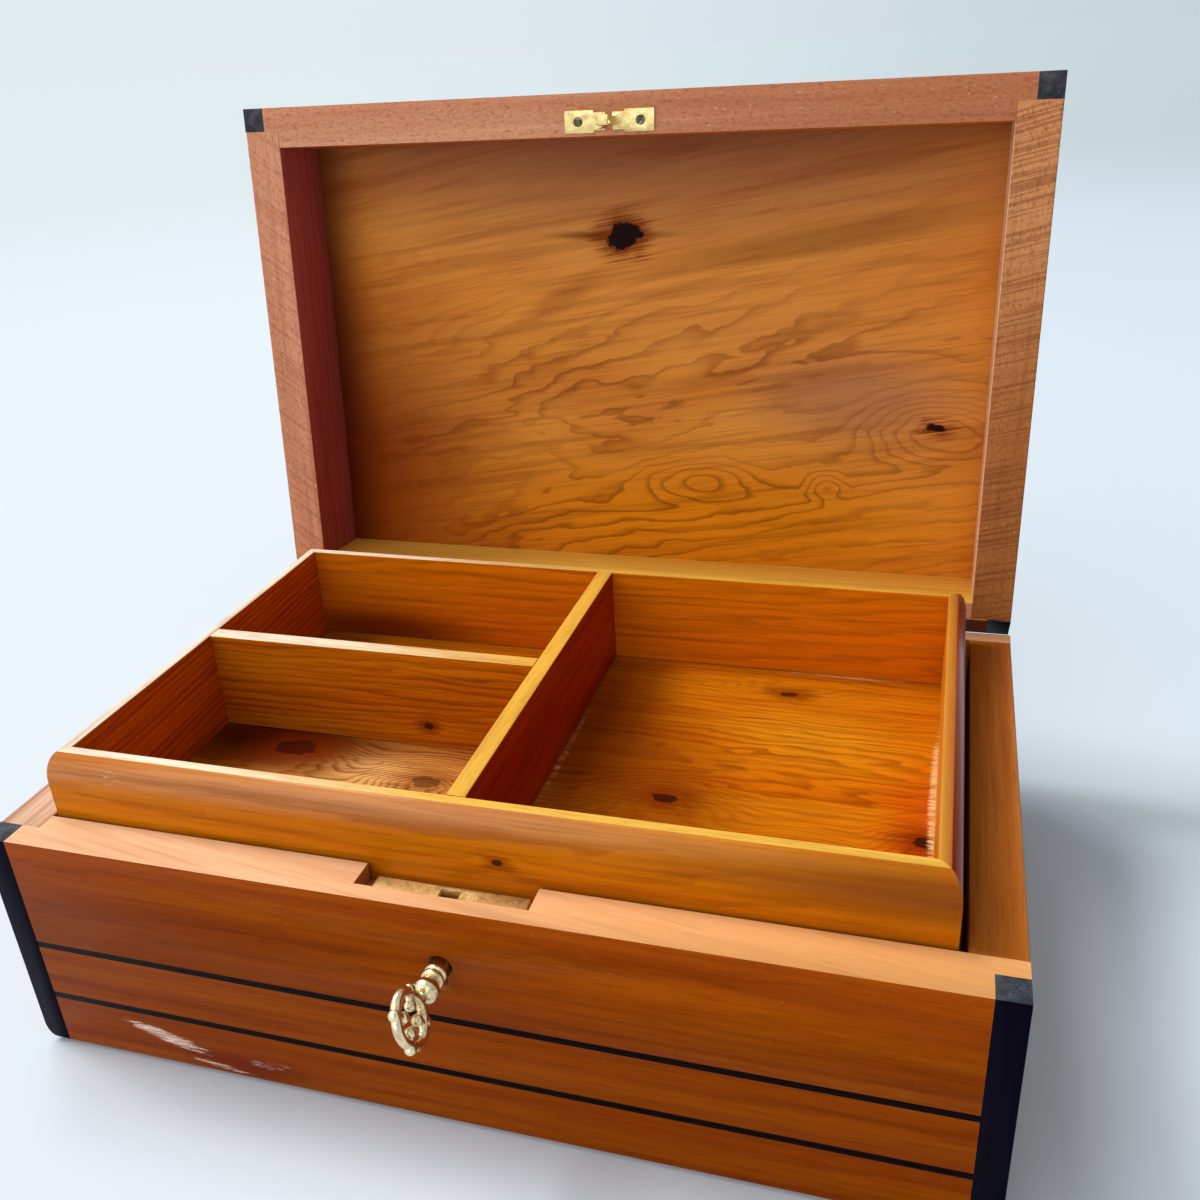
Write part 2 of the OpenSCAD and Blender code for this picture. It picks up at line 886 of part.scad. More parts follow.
// One lobe of the bow, an arc bar that reaches `reach` up from the bow's middle and
// passes through corners half apart. Drawn in the XY plane
module lobe(reach, r, half) {
    angle = 2 * asin(half / r);
    translate([0, reach - r, 0])
        rotate([0, 0, 90 - angle / 2])
            rotate_extrude(angle = angle)
                translate([r, 0])
                    circle(bar_r, $fn = 24);
}

// The bow, drawn in the XY plane with the shank along -X
module bow() {
    for (turn = [0, 180]) {
        rotate([0, 0, turn])
            lobe(bow_half_h, lobe_h_r, bow_corner_l);
        rotate([0, 0, turn - 90])
            lobe(bow_half_l, lobe_l_r, bow_corner_h);
    }
    for (sx = [-1, 1])
        for (sy = [-1, 1]) {
            corner = [sx * bow_corner_l, sy * bow_corner_h];
            inner = [corner.x * bead_in.x, corner.y * bead_in.y];
            for (at = [corner + bead_out * [sx, sy], inner])
                translate([at.x, at.y, 0])
                    sphere(bead_r, $fn = 24);
            translate([inner.x, inner.y, 0])
                rotate([0, 0, atan2(corner.y - inner.y, corner.x - inner.x)])
                    rotate([0, 90, 0])
                        cylinder(h = norm(corner - inner), r = bar_r * 0.8, $fn = 24);
        }
}

// The shank with its rings and baluster, as a turned profile along Z, from the end in
// the lock at z = 0 outwards
module shank() {
    front = key_in;
    difference() {
        union() {
            cylinder(h = front - baluster_y, r = shank_r);
            for (y = ring_y)
                translate([0, 0, front - y])
                    rotate_extrude()
                        translate([ring_r - ring_bar_r, 0])
                            circle(ring_bar_r, $fn = 24);
            rotate_extrude()
                polygon([[0, front - baluster[0].x],
                         for (ring = baluster) [ring.y, front - ring.x],
                         [0, front - baluster[len(baluster) - 1].x]]);
            cylinder(h = front + bow_reach - bow_half_l, r = neck_r);
        }
        translate([0, 0, -eps])
            cylinder(h = key_pin_l + eps, r = key_pin_r + run_gap);
    }
}

module key() {
    color(BRASS)
        in_lock()
            translate([0, 0, -key_drop])
                rotate([0, -key_rest_turn, 0]) {
                    translate([0, key_in, 0])
                        rotate([90, 0, 0])
                            shank();
                    translate([0, -bow_reach, 0])
                        rotate([0, 90, 0])
                            rotate([0, 0, -90])
                                bow();
                    difference() {
                        span([-bit_t / 2, link_y - bit_w / 2, -bit_reach],
                             [bit_t / 2, link_y + bit_w / 2, 0]);
                        y_pin(0, wall, shank_r - 0.5);
                    }
                }
}

// ---------------------------------------------------------------- tray

module in_tray() {
    translate([tray_shift_x, tray_shift_y, tray_z])
        children();
}

// Section of a tray wall: x runs in from the outer face, y up from the underside
module tray_section() {
    rounding = [for (i = [0 : round_steps])
        [tray_round_w * (1 - cos(90 * i / round_steps)),
         tray_h - tray_round_h + tray_round_h * sin(90 * i / round_steps)]];
    polygon(concat([[0, 0]], rounding,
                   [[tray_wall, tray_h], [tray_wall, tray_floor_t],
                    [tray_wall - tray_floor_let, tray_floor_t], [tray_wall - tray_floor_let, 0]]));
}

// A wall of the tray with mitred ends, at the front. l is its outer length
module tray_side(l) {
    intersection() {
        rotate([90, 0, 90])
            linear_extrude(l, center = true)
                tray_section();
        linear_extrude(3 * tray_h, center = true)
            polygon([[-l / 2, 0], [l / 2, 0], [l / 2 - tray_wall, tray_wall], [-l / 2 + tray_wall, tray_wall]]);
    }
}

// A long wall, at the front or with turn 180 at the back
module tray_long_side(turn) {
    color(TRAY_WOOD)
        in_tray()
            rotate([0, 0, turn])
                translate([0, -tray_d / 2, 0])
                    tray_side(tray_w);
}

// A short wall, on the right with turn 90 or on the left with turn -90
module tray_short_side(turn) {
    color(TRAY_WOOD)
        in_tray()
            rotate([0, 0, turn])
                translate([0, -tray_w / 2, 0])
                    tray_side(tray_d);
}

module tray_floor() {
    half_w = tray_w / 2 - tray_wall + tray_floor_let;
    half_d = tray_d / 2 - tray_wall + tray_floor_let;
    color(TRAY_WOOD)
        in_tray()
            span([-half_w, -half_d, 0], [half_w, half_d, tray_floor_t]);
}

module tray_partition() {
    half_d = tray_d / 2 - tray_wall;
    color(TRAY_WOOD)
        in_tray()
            span([partition_x - partition_t / 2, -half_d, tray_floor_t],
                 [partition_x + partition_t / 2, half_d, tray_h]);
}

module tray_cross_partition() {
    color(TRAY_WOOD)
        in_tray()
            span([-tray_w / 2 + tray_wall, partition_y - partition_t / 2, tray_floor_t],
                 [partition_x - partition_t / 2, partition_y + partition_t / 2, tray_h]);
}

// ---------------------------------------------------------------- the nodes

front_board();
back_board();
left_board();
right_board();
base_post(-1, -1);  // post_front_left
base_post(1, -1);  // post_front_right
base_post(-1, 1);  // post_back_left
base_post(1, 1);  // post_back_right
bottom_panel();
front_lines();
back_lines();
left_lines();
right_lines();
ledge(false);  // ledge_left
ledge(true);  // ledge_right
lid_front_board();
lid_back_board();
lid_end_board(false);  // lid_left_board
lid_end_board(true);  // lid_right_board
lid_post(-1, -1);  // lid_post_front_left
lid_post(1, -1);  // lid_post_front_right
lid_post(-1, 1);  // lid_post_back_left
lid_post(1, 1);  // lid_post_back_right
lid_panel();
base_leaf(-1);  // hinge_base_leaf_left
base_leaf(1);  // hinge_base_leaf_right
lid_leaf(-1);  // hinge_lid_leaf_left
lid_leaf(1);  // hinge_lid_leaf_right
hinge_pin(-1);  // hinge_pin_left
hinge_pin(1);  // hinge_pin_right
hinge_base_screws();
hinge_lid_screws();
lock_plate();
lock_case();
lock_key_pin();
lock_stud();
lock_rivets();
lock_screws();
lock_bolt();
bolt_spring();
striker();
striker_screws();
key();
tray_long_side(0);  // tray_front
tray_long_side(180);  // tray_back
tray_short_side(-90);  // tray_left
tray_short_side(90);  // tray_right
tray_floor();
tray_partition();
tray_cross_partition();
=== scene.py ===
"""A wooden keepsake box with a hinged lid, a lift-out tray, a lock and a key, dressed to render.

The CAD solids give every place and size. Each piece is a merged copy of its solid with eased
edges, and a board's faces take varnished or bare wood by which way they look.
Lengths in the finishes are millimetres, and grain always runs along the board.
"""
import json
import math

import bmesh
import bpy
from mathutils import Matrix, Vector

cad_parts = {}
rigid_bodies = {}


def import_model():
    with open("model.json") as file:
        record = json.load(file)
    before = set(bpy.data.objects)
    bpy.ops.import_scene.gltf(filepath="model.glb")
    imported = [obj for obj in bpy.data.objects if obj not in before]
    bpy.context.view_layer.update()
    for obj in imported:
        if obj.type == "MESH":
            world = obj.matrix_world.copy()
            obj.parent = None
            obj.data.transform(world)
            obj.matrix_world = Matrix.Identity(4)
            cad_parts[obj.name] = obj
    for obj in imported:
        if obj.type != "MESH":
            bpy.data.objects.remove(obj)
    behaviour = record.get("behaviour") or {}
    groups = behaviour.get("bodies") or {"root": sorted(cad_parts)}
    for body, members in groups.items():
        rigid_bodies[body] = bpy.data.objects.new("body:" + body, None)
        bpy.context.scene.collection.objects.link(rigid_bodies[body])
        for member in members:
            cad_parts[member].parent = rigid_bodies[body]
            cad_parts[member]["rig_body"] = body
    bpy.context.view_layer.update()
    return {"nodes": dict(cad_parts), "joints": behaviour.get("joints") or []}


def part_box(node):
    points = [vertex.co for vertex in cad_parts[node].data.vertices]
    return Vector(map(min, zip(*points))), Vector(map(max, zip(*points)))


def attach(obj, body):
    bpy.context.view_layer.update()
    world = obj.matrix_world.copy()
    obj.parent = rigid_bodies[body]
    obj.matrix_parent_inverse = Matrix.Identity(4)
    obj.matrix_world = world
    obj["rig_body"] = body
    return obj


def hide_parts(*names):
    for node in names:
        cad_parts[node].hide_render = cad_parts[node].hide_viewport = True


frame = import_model()

bl_info = {
    "name": "Keepsake box",
    "version": (1, 0, 0),
    "blender": (4, 5, 0),
    "location": "View3D > Sidebar > Keepsake box",
    "description": "Builds a wooden keepsake box with its tray, lock, key and studio stage",
    "category": "Object",
}

MM = 0.001


# ------------------------------------------------------------------ places

HINGE = next(j for j in frame["joints"] if j["name"] == "lid_hinge")
HINGE_LINE = Vector(HINGE["pos_m"])
LID_OPEN = math.radians(96)
SHUT_TURN = Matrix.Rotation(LID_OPEN, 3, "X")


def middle(node):
    """The middle of a CAD solid's box, in millimetres."""
    low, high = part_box(node)
    return (low + high) / 2 / MM


def shut(point):
    """Where a point of the open lid is once the lid is shut, in metres."""
    return HINGE_LINE + SHUT_TURN @ (Vector(point) - HINGE_LINE)


# ------------------------------------------------------------------ colours and nodes

# Settings that a kind of node has here unless a call says otherwise
USUAL = {"MapRange": {"interpolation_type": "SMOOTHSTEP"}, "Mix": {"data_type": "RGBA"}}
# The Mix node's output for colours. Its inputs are 0 for the share, and 6 and 7 for the colours
COLOUR_OUT = 2


def srgb(code):
    """Turns an sRGB hex colour into linear red, green and blue."""
    parts = [int(code[i:i + 2], 16) / 255 for i in (1, 3, 5)]
    return tuple(c / 12.92 if c <= 0.04045 else ((c + 0.055) / 1.055) ** 2.4 for c in parts)


def add(tree, kind, inputs=(), out=0, **settings):
    """Adds a shader node with its settings and links. The inputs stand in the order of the node's
    sockets, or under their names or numbers, and each is a number, a colour or an output to read.
    The output that out names or numbers is handed back."""
    made = tree.nodes.new("ShaderNode" + kind)
    for name, value in {**USUAL.get(kind, {}), **settings}.items():
        setattr(made, name, value)
    for name, value in inputs.items() if isinstance(inputs, dict) else enumerate(inputs):
        socket = made.inputs[name]
        if isinstance(value, bpy.types.NodeSocket):
            tree.links.new(value, socket)
        elif socket.type == "RGBA" and len(value) == 3:
            socket.default_value = (*value, 1)
        else:
            socket.default_value = value
    return made.outputs[out] if made.outputs else made


def paint(code):
    """A colour of the box's palette by its name, or any other by its sRGB code."""
    palette = bpy.context.scene.box_colours
    return tuple(getattr(palette, code)) if hasattr(palette, code) else srgb(code)


def new_material(name):
    """An empty node material, and its tree."""
    material = bpy.data.materials.new(name)
    material.use_nodes = True
    material.node_tree.nodes.clear()
    return material, material.node_tree


def in_mm(tree, on_lid):
    """Object coordinates in millimetres. On the lid they are those of the shut lid."""
    place = add(tree, "TexCoord", out="Object")
    if not on_lid:
        return add(tree, "Mapping", {"Vector": place, "Scale": (1 / MM,) * 3})
    move = (HINGE_LINE - SHUT_TURN @ HINGE_LINE) / MM
    return add(tree, "Mapping", {"Vector": place, "Scale": (1 / MM,) * 3,
                                 "Rotation": (LID_OPEN, 0, 0), "Location": move})


def oval(tree, place, centre, radii, turn=(0, 0, 0)):
    """Distance from a centre, where 1 is on the surface of an oval of the given radii."""
    moved = add(tree, "VectorMath", (place, tuple(centre)), operation="SUBTRACT")
    turned = add(tree, "Mapping", {"Vector": moved, "Rotation": turn})
    scaled = add(tree, "VectorMath", (turned, tuple(radii)), operation="DIVIDE")
    return add(tree, "VectorMath", (scaled,), out="Value", operation="LENGTH")


# ------------------------------------------------------------------ wood

# The way to turn the board so that its grain runs along X
GRAIN_TURN = {"X": (0, 0, 0), "Y": (0, 0, -math.pi / 2), "Z": (0, math.pi / 2, 0)}
VARNISH_IOR = 1.5
SAW_MARK = 45                 # length of a saw mark, in millimetres
FLECK_SIZE = (1.6, 0.5, 0.5)  # pale pores of sawn wood
CHIP_SIZE = (6.5, 0.7, 0.7)   # splinters gone from a scuffed edge
SCUFF_ROUGH = 0.75            # roughness of the bare wood in a scuff

# What each wood finish has unless it says otherwise. Lengths are millimetres.
PLAIN_WOOD = {
    "along": "X",          # the way the grain runs
    "on_lid": False,
    "heart": (0, 60, -160),  # the middle of the tree, across the grain
    "tilt": (0, 0.04, 0.02),  # how the board leans in the tree
    "slant": 0.0,          # turn of the grain in the board's face, in degrees
    "ring": 4.2,           # width of a year's growth
    "ring_share": 0.2,     # how far the dark line of a year covers the ground colour
    "ring_edge": (0.35, 0.95),  # where in a year the wood starts to darken and is darkest
    "warp": 1.2,           # how far the rings wander, in rings
    "warp_size": (140, 18, 18),  # and over what lengths
    "ripple": 0.15,        # the same again for small waves in the rings
    "ripple_size": (16, 4, 4),
    "figure": None,        # centre and radii of the place where the rings stand out
    "figure_rest": 0.2,    # how strong they are elsewhere
    "cloud_size": (190, 9, 9),  # long clouds of lighter wood
    "cloud": 0.5,
    "streak_size": (80, 2.2, 2.2),  # darker streaks
    "streak": 0.35,
    "fibre_size": (24, 0.8, 0.8),  # the finest lines that still show
    "fibre": 0.25,
    "bump": 0.012,
    "rough": 0.3,
    "sheen": "#e8a060",    # colour of the gloss seen straight on
    "gloss": 0.5,
    "coat": 0.0,
    "coat_rough": 0.08,
    "knots": (),           # centre, radii, how much wider the grain bends, rings pushed, darkness
    "knot_tone": "#1a0803",
    "halo": 1.2,           # how far the dark round a knot frays out
    "scuffs": (),          # centre, radii, turn, cover
    "bare": "#efe0d2",     # the colour of a scuff
    "saw": None,           # angle in degrees, spacing and depth of saw marks
    "saw_share": 0.3,      # how far the dark of the marks covers the ground colour
    "specks": 0.0,
    "speck_tone": "#ffd9a8",
    "shades": (),          # centre, radii, turn, colour and share of a soft zone of colour
}


def wood(name, base, dark, pale, **changes):
    """A solid wood cut from one tree trunk: growth rings round a heart, wandering along the grain,
    with clouds of colour, fine fibres, knots that push the rings aside, and what wear has done."""
    look = {**PLAIN_WOOD, **changes}
    material, tree = new_material(name)
    place = in_mm(tree, look["on_lid"])
    board = add(tree, "Mapping", {"Vector": place, "Rotation": GRAIN_TURN[look["along"]]})
    if look["slant"]:
        slant = (0, 0, math.radians(look["slant"]))
        board = add(tree, "Mapping", {"Vector": board, "Rotation": slant})

    lean = add(tree, "Mapping", {"Vector": board, "Rotation": look["tilt"]})
    across = add(tree, "VectorMath", (lean, look["heart"]), operation="SUBTRACT")
    flat = add(tree, "VectorMath", (across, (0.02, 1, 1)), operation="MULTIPLY")
    far = add(tree, "VectorMath", (flat,), out="Value", operation="LENGTH")
    rings = add(tree, "Math", (far, look["ring"]), operation="DIVIDE")
    wander = add(tree, "VectorMath", (board, look["warp_size"]), operation="DIVIDE")
    warp = add(tree, "TexNoise", {"Vector": wander, "Scale": 1.0, "Detail": 3.0,
                                  "Roughness": 0.55, "Distortion": 0.6})
    rings = add(tree, "Math", (warp, look["warp"] * 2, rings), operation="MULTIPLY_ADD")

    small = add(tree, "VectorMath", (board, look["ripple_size"]), operation="DIVIDE")
    ripple = add(tree, "TexNoise", {"Vector": small, "Scale": 1.0, "Detail": 2.0})
    rings = add(tree, "Math", (ripple, look["ripple"] * 2, rings), operation="MULTIPLY_ADD")

    # A knot lifts the rings into a hill, and its dark core has a ragged edge
    cores = []
    ragged = add(tree, "TexNoise", {"Vector": place, "Scale": 0.11, "Detail": 4.0,
                                    "Roughness": 0.62})
    for centre, radii, spread, push, darkness in look["knots"]:
        reach = oval(tree, place, centre, radii)
        hill = add(tree, "MapRange", (reach, spread, 0.0, 0.0, push))
        rings = add(tree, "Math", (rings, hill), operation="ADD")
        if darkness:
            edge = add(tree, "Math", (ragged, 2.0, -1.0), operation="MULTIPLY_ADD")
            cores.append((add(tree, "Math", (reach, edge), operation="ADD"), darkness))

    # A year starts pale and darkens slowly, and the next one starts at a sharp line
    year = add(tree, "Math", (rings,), operation="FRACT")
    darker = add(tree, "MapRange", (year, *look["ring_edge"]))
    late = add(tree, "Math", (darker, add(tree, "MapRange", (year, 1.0, 0.9))),
               operation="MULTIPLY")

    # Clouds, streaks and fibres, from broad to fine. Rings are fainter in the clouds
    drift = add(tree, "VectorMath", (board, look["cloud_size"]), operation="DIVIDE")
    cloud = add(tree, "TexNoise", {"Vector": drift, "Scale": 1.0, "Detail": 4.0,
                                   "Roughness": 0.5, "Distortion": 0.3})
    share = look["ring_share"]
    strength = add(tree, "MapRange", (cloud, 0.4, 0.62, share, share * 0.4))
    cloud = add(tree, "MapRange", (cloud, 0.36, 0.66, 0.0, look["cloud"]))
    band = add(tree, "VectorMath", (board, look["streak_size"]), operation="DIVIDE")
    band = add(tree, "TexNoise", {"Vector": band, "Scale": 1.0, "Detail": 3.0, "Roughness": 0.6})
    band = add(tree, "MapRange", (band, 0.46, 0.72, 0.0, look["streak"]))
    thread = add(tree, "VectorMath", (board, look["fibre_size"]), operation="DIVIDE")
    fibre = add(tree, "TexNoise", {"Vector": thread, "Scale": 1.0, "Detail": 3.0,
                                   "Roughness": 0.6})
    line = add(tree, "MapRange", (fibre, 0.46, 0.74, 0.0, look["fibre"]))
    if look["figure"]:
        reach = oval(tree, place, *look["figure"])
        there = add(tree, "MapRange", (reach, 1.0, 0.45, look["figure_rest"], 1.0))
        strength = add(tree, "Math", (strength, there), operation="MULTIPLY")
    late_share = add(tree, "Math", (late, strength), operation="MULTIPLY")

    tone = add(tree, "Mix", {0: cloud, 6: paint(base), 7: paint(pale)}, out=COLOUR_OUT)
    # Soft zones of colour: the wood's own, and in some finishes painted light and painted shade, as
    # each finish says
    for centre, radii, turned, code, share in look["shades"]:
        zone = add(tree, "MapRange", (oval(tree, place, centre, radii, turned),
                                      1.0, 0.15, 0.0, share))
        tone = add(tree, "Mix", {0: zone, 6: tone, 7: srgb(code)}, out=COLOUR_OUT)
    for share in (band, late_share, line):
        tone = add(tree, "Mix", {0: share, 6: tone, 7: srgb(dark)}, out=COLOUR_OUT)
    for reach, darkness in cores:
        frayed = add(tree, "Math", (fibre, -5.0, reach), operation="MULTIPLY_ADD")
        halo = add(tree, "MapRange", (frayed, look["halo"], -1.7, 0.0, darkness * 0.9))
        tone = add(tree, "Mix", {0: halo, 6: tone, 7: srgb(dark)}, out=COLOUR_OUT)
        core = add(tree, "MapRange", (reach, 1.0, 0.8, 0.0, darkness))
        tone = add(tree, "Mix", {0: core, 6: tone, 7: srgb(look["knot_tone"])}, out=COLOUR_OUT)
    if look["specks"]:
        fleck = add(tree, "VectorMath", (board, FLECK_SIZE), operation="DIVIDE")
        fleck = add(tree, "TexNoise", {"Vector": fleck, "Scale": 1.0, "Detail": 1.0})
        fleck = add(tree, "MapRange", (fleck, 0.72, 0.8, 0.0, look["specks"]))
        tone = add(tree, "Mix", {0: fleck, 6: tone, 7: srgb(look["speck_tone"])}, out=COLOUR_OUT)

    rough = look["rough"]
    height = add(tree, "Math", (fibre, late), operation="SUBTRACT")
    if look["saw"]:
        angle, spacing, depth = look["saw"]
        marks = add(tree, "Mapping", {"Vector": board, "Rotation": (0, 0, math.radians(angle)),
                                      "Scale": (spacing, SAW_MARK, SAW_MARK)},
                    vector_type="TEXTURE")
        marks = add(tree, "TexNoise", {"Vector": marks, "Scale": 1.0, "Detail": 2.0})
        height = add(tree, "Math", (marks, depth / look["bump"], height),
                     operation="MULTIPLY_ADD")
        marks = add(tree, "MapRange", (marks, 0.55, 0.35, 0.0, look["saw_share"]))
        tone = add(tree, "Mix", {0: marks, 6: tone, 7: srgb(dark)}, out=COLOUR_OUT)
    for centre, radii, turned, cover in look["scuffs"]:
        reach = oval(tree, place, centre, radii, turned)
        chips = add(tree, "VectorMath", (board, CHIP_SIZE), operation="DIVIDE")
        chips = add(tree, "TexNoise", {"Vector": chips, "Scale": 1.0, "Detail": 6.0,
                                       "Roughness": 0.85})
        edge = add(tree, "MapRange", (reach, 1.0, 0.25, 0.0, cover))
        bare = add(tree, "Math", (chips, edge), operation="ADD")
        bare = add(tree, "MapRange", (bare, 0.93, 1.1))
        tone = add(tree, "Mix", {0: bare, 6: tone, 7: srgb(look["bare"])}, out=COLOUR_OUT)
        rough = add(tree, "Mix", {0: bare, 2: rough, 3: SCUFF_ROUGH}, data_type="FLOAT")
        height = add(tree, "Math", (bare, -6.0, height), operation="MULTIPLY_ADD")

    normal = add(tree, "Bump", {"Height": height, "Distance": look["bump"] * MM, "Strength": 1.0})
    shader = add(tree, "BsdfPrincipled", {
        "Base Color": tone, "Roughness": rough, "IOR": VARNISH_IOR, "Normal": normal,
        "Specular IOR Level": look["gloss"], "Specular Tint": srgb(look["sheen"]),
        "Coat Weight": look["coat"], "Coat Roughness": look["coat_rough"],
        "Coat IOR": VARNISH_IOR})
    add(tree, "OutputMaterial", {"Surface": shader})
    return material


# ------------------------------------------------------------------ metal


def metal(name, base, dark, rough, pit=0.0, pit_size=0.6, pit_depth=0.03, brush=0.0):
    """A metal with tarnish in clouds, pits of a real size and fine brushing along the length."""
    material, tree = new_material(name)
    place = in_mm(tree, False)
    cloud = add(tree, "TexNoise", {"Vector": place, "Scale": 0.35, "Detail": 3.0})
    tarnish = add(tree, "MapRange", (cloud, 0.4, 0.7, 0.0, 0.6))
    tone = add(tree, "Mix", {0: tarnish, 6: paint(base), 7: srgb(dark)}, out=COLOUR_OUT)
    grit = add(tree, "TexNoise", {"Vector": place, "Scale": 1 / pit_size, "Detail": 3.0,
                                  "Roughness": 0.6})
    pits = add(tree, "MapRange", (grit, 0.52, 0.66, 0.0, 1.0))
    if pit:
        stain = add(tree, "MapRange", (grit, 0.5, 0.66, 0.0, pit))
        tone = add(tree, "Mix", {0: stain, 6: tone, 7: srgb(dark)}, out=COLOUR_OUT)
    lines = add(tree, "VectorMath", (place, (9, 0.25, 0.25)), operation="DIVIDE")
    lines = add(tree, "TexNoise", {"Vector": lines, "Scale": 1.0, "Detail": 2.0})
    height = add(tree, "Math", (pits, -1.0, 0.0), operation="MULTIPLY_ADD")
    height = add(tree, "Math", (lines, brush, height), operation="MULTIPLY_ADD")
    normal = add(tree, "Bump", {"Height": height, "Distance": pit_depth * MM, "Strength": 1.0})
    wear = add(tree, "MapRange", (cloud, 0.3, 0.7, rough, min(1.0, rough + 0.12)))
    shader = add(tree, "BsdfPrincipled", {"Base Color": tone, "Metallic": 1.0, "Roughness": wear,
                                          "Normal": normal})
    add(tree, "OutputMaterial", {"Surface": shader})
    return material


# ------------------------------------------------------------------ finishes

# Real places that several finishes share, in millimetres
RIM_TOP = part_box("front_board")[1].z / MM
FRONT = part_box("front_board")[0].y / MM
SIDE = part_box("right_board")[1].x / MM
TRAY_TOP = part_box("tray_front")[1].z / MM
FLOOR_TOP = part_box("tray_floor")[1].z / MM
TRAY_FRONT_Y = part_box("tray_front")[0].y / MM
TRAY_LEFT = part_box("tray_left")[0].x / MM
RIGHT_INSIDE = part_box("tray_right")[0].x / MM
BACK_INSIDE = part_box("tray_back")[0].y / MM
PARTITION = middle("tray_partition").x
CROSS_PARTITION = middle("tray_cross_partition").y
PANEL_Z = 112  # inside face of the shut lid's panel
LEVEL = (0, 0, 0)  # the turn of a patch that lies square to the board

# Varnished veneer of the outside: quiet straight grain under a clear gloss, so the eye sees
# golden-brown wood with long faint lines and soft reflections over it
VENEER = dict(base="varnish", dark="#561a00", pale="varnish_pale", ring=6.0, ring_share=0.22,
              warp=1.0, cloud=0.55, streak=0.22, fibre=0.34, fibre_size=(13, 0.6, 0.6), rough=0.34,
              gloss=0.02, coat=0.035, coat_rough=0.04, bump=0.003, sheen="#b05410", specks=0.06)
# Bare sawn wood of the rims: pale, dry and dull
BARE = dict(base="bare_wood", dark="#c98a5c", pale="#f4c79c", ring=6.5, ring_share=0.2, slant=9,
            warp=1.2, streak=0.35, fibre=0.4, rough=0.62, gloss=0.2, bump=0.03, specks=0.3)
# The lid's rims are the same wood, redder, and rough from the saw
SAWN = dict(base="sawn_wood", dark="#984c2c", pale="#e6ac8a", ring=6.0, ring_share=0.1, warp=1.2,
            streak=0.2, fibre=0.5, fibre_size=(1.9, 1.0, 1.0), rough=0.7, gloss=0.15, bump=0.12,
            specks=0.9, speck_tone="#f2cdb4", on_lid=True)
# Inside faces of the lid: gloss varnish on plain grain
LINING = dict(base="#c06a20", dark="#7c3408", pale="#d6822c", ring=4.5, ring_share=0.25, warp=1.5,
              fibre=0.3, rough=0.3, gloss=0.1, coat=0.08, coat_rough=0.12, bump=0.004,
              sheen="#c06018", on_lid=True)
# Walls of the tray: honey-coloured gloss varnish on lively fine grain
HONEY = dict(base="honey", dark="#762802", pale="honey_pale", ring=2.1, ring_share=0.6,
             ring_edge=(0.35, 0.9), warp=2.2, warp_size=(160, 20, 20), streak=0.35, fibre=0.45,
             fibre_size=(18, 0.6, 0.6), knot_tone="#340c04", rough=0.3, gloss=0.08, coat=0.08,
             coat_rough=0.08, bump=0.004, sheen="#d07018")
# Their top edges: the same varnish rubbed thin, so paler and duller
HONEY_TOP = dict(base="#eab040", dark="#b87c30", pale="#f4c658", ring=3.0, ring_share=0.25,
                 warp=1.0, fibre=0.5, fibre_size=(9, 0.6, 0.6), rough=0.42, gloss=0.2, coat=0.1,
                 coat_rough=0.25, bump=0.012)
# Unvarnished wood inside the carcass, seen only with the tray lifted out
INSIDE = dict(base="#b4713a", dark="#7c431c", pale="#c98a50", ring=5.0, ring_share=0.3, warp=1.5,
              fibre=0.4, rough=0.6, bump=0.02)
# Ebonised hardwood: nearly black, with a blue cast
EBONY = dict(base="black_wood", dark="#01010a", pale="#05051c", along="Z", fibre=0.3, rough=0.4,
             gloss=0.03, coat=0.02, coat_rough=0.12, bump=0.006)
# Its sawn end grain is grey-blue and glitters
EBONY_END = dict(base="#2c343e", dark="#12161c", pale="#56616e", along="Z",
                 fibre_size=(1, 0.45, 0.45), fibre=0.8, cloud_size=(1, 3, 3), ring=2.0,
                 rough=0.45, gloss=0.3, bump=0.03, specks=0.8, speck_tone="#a8b4c4")

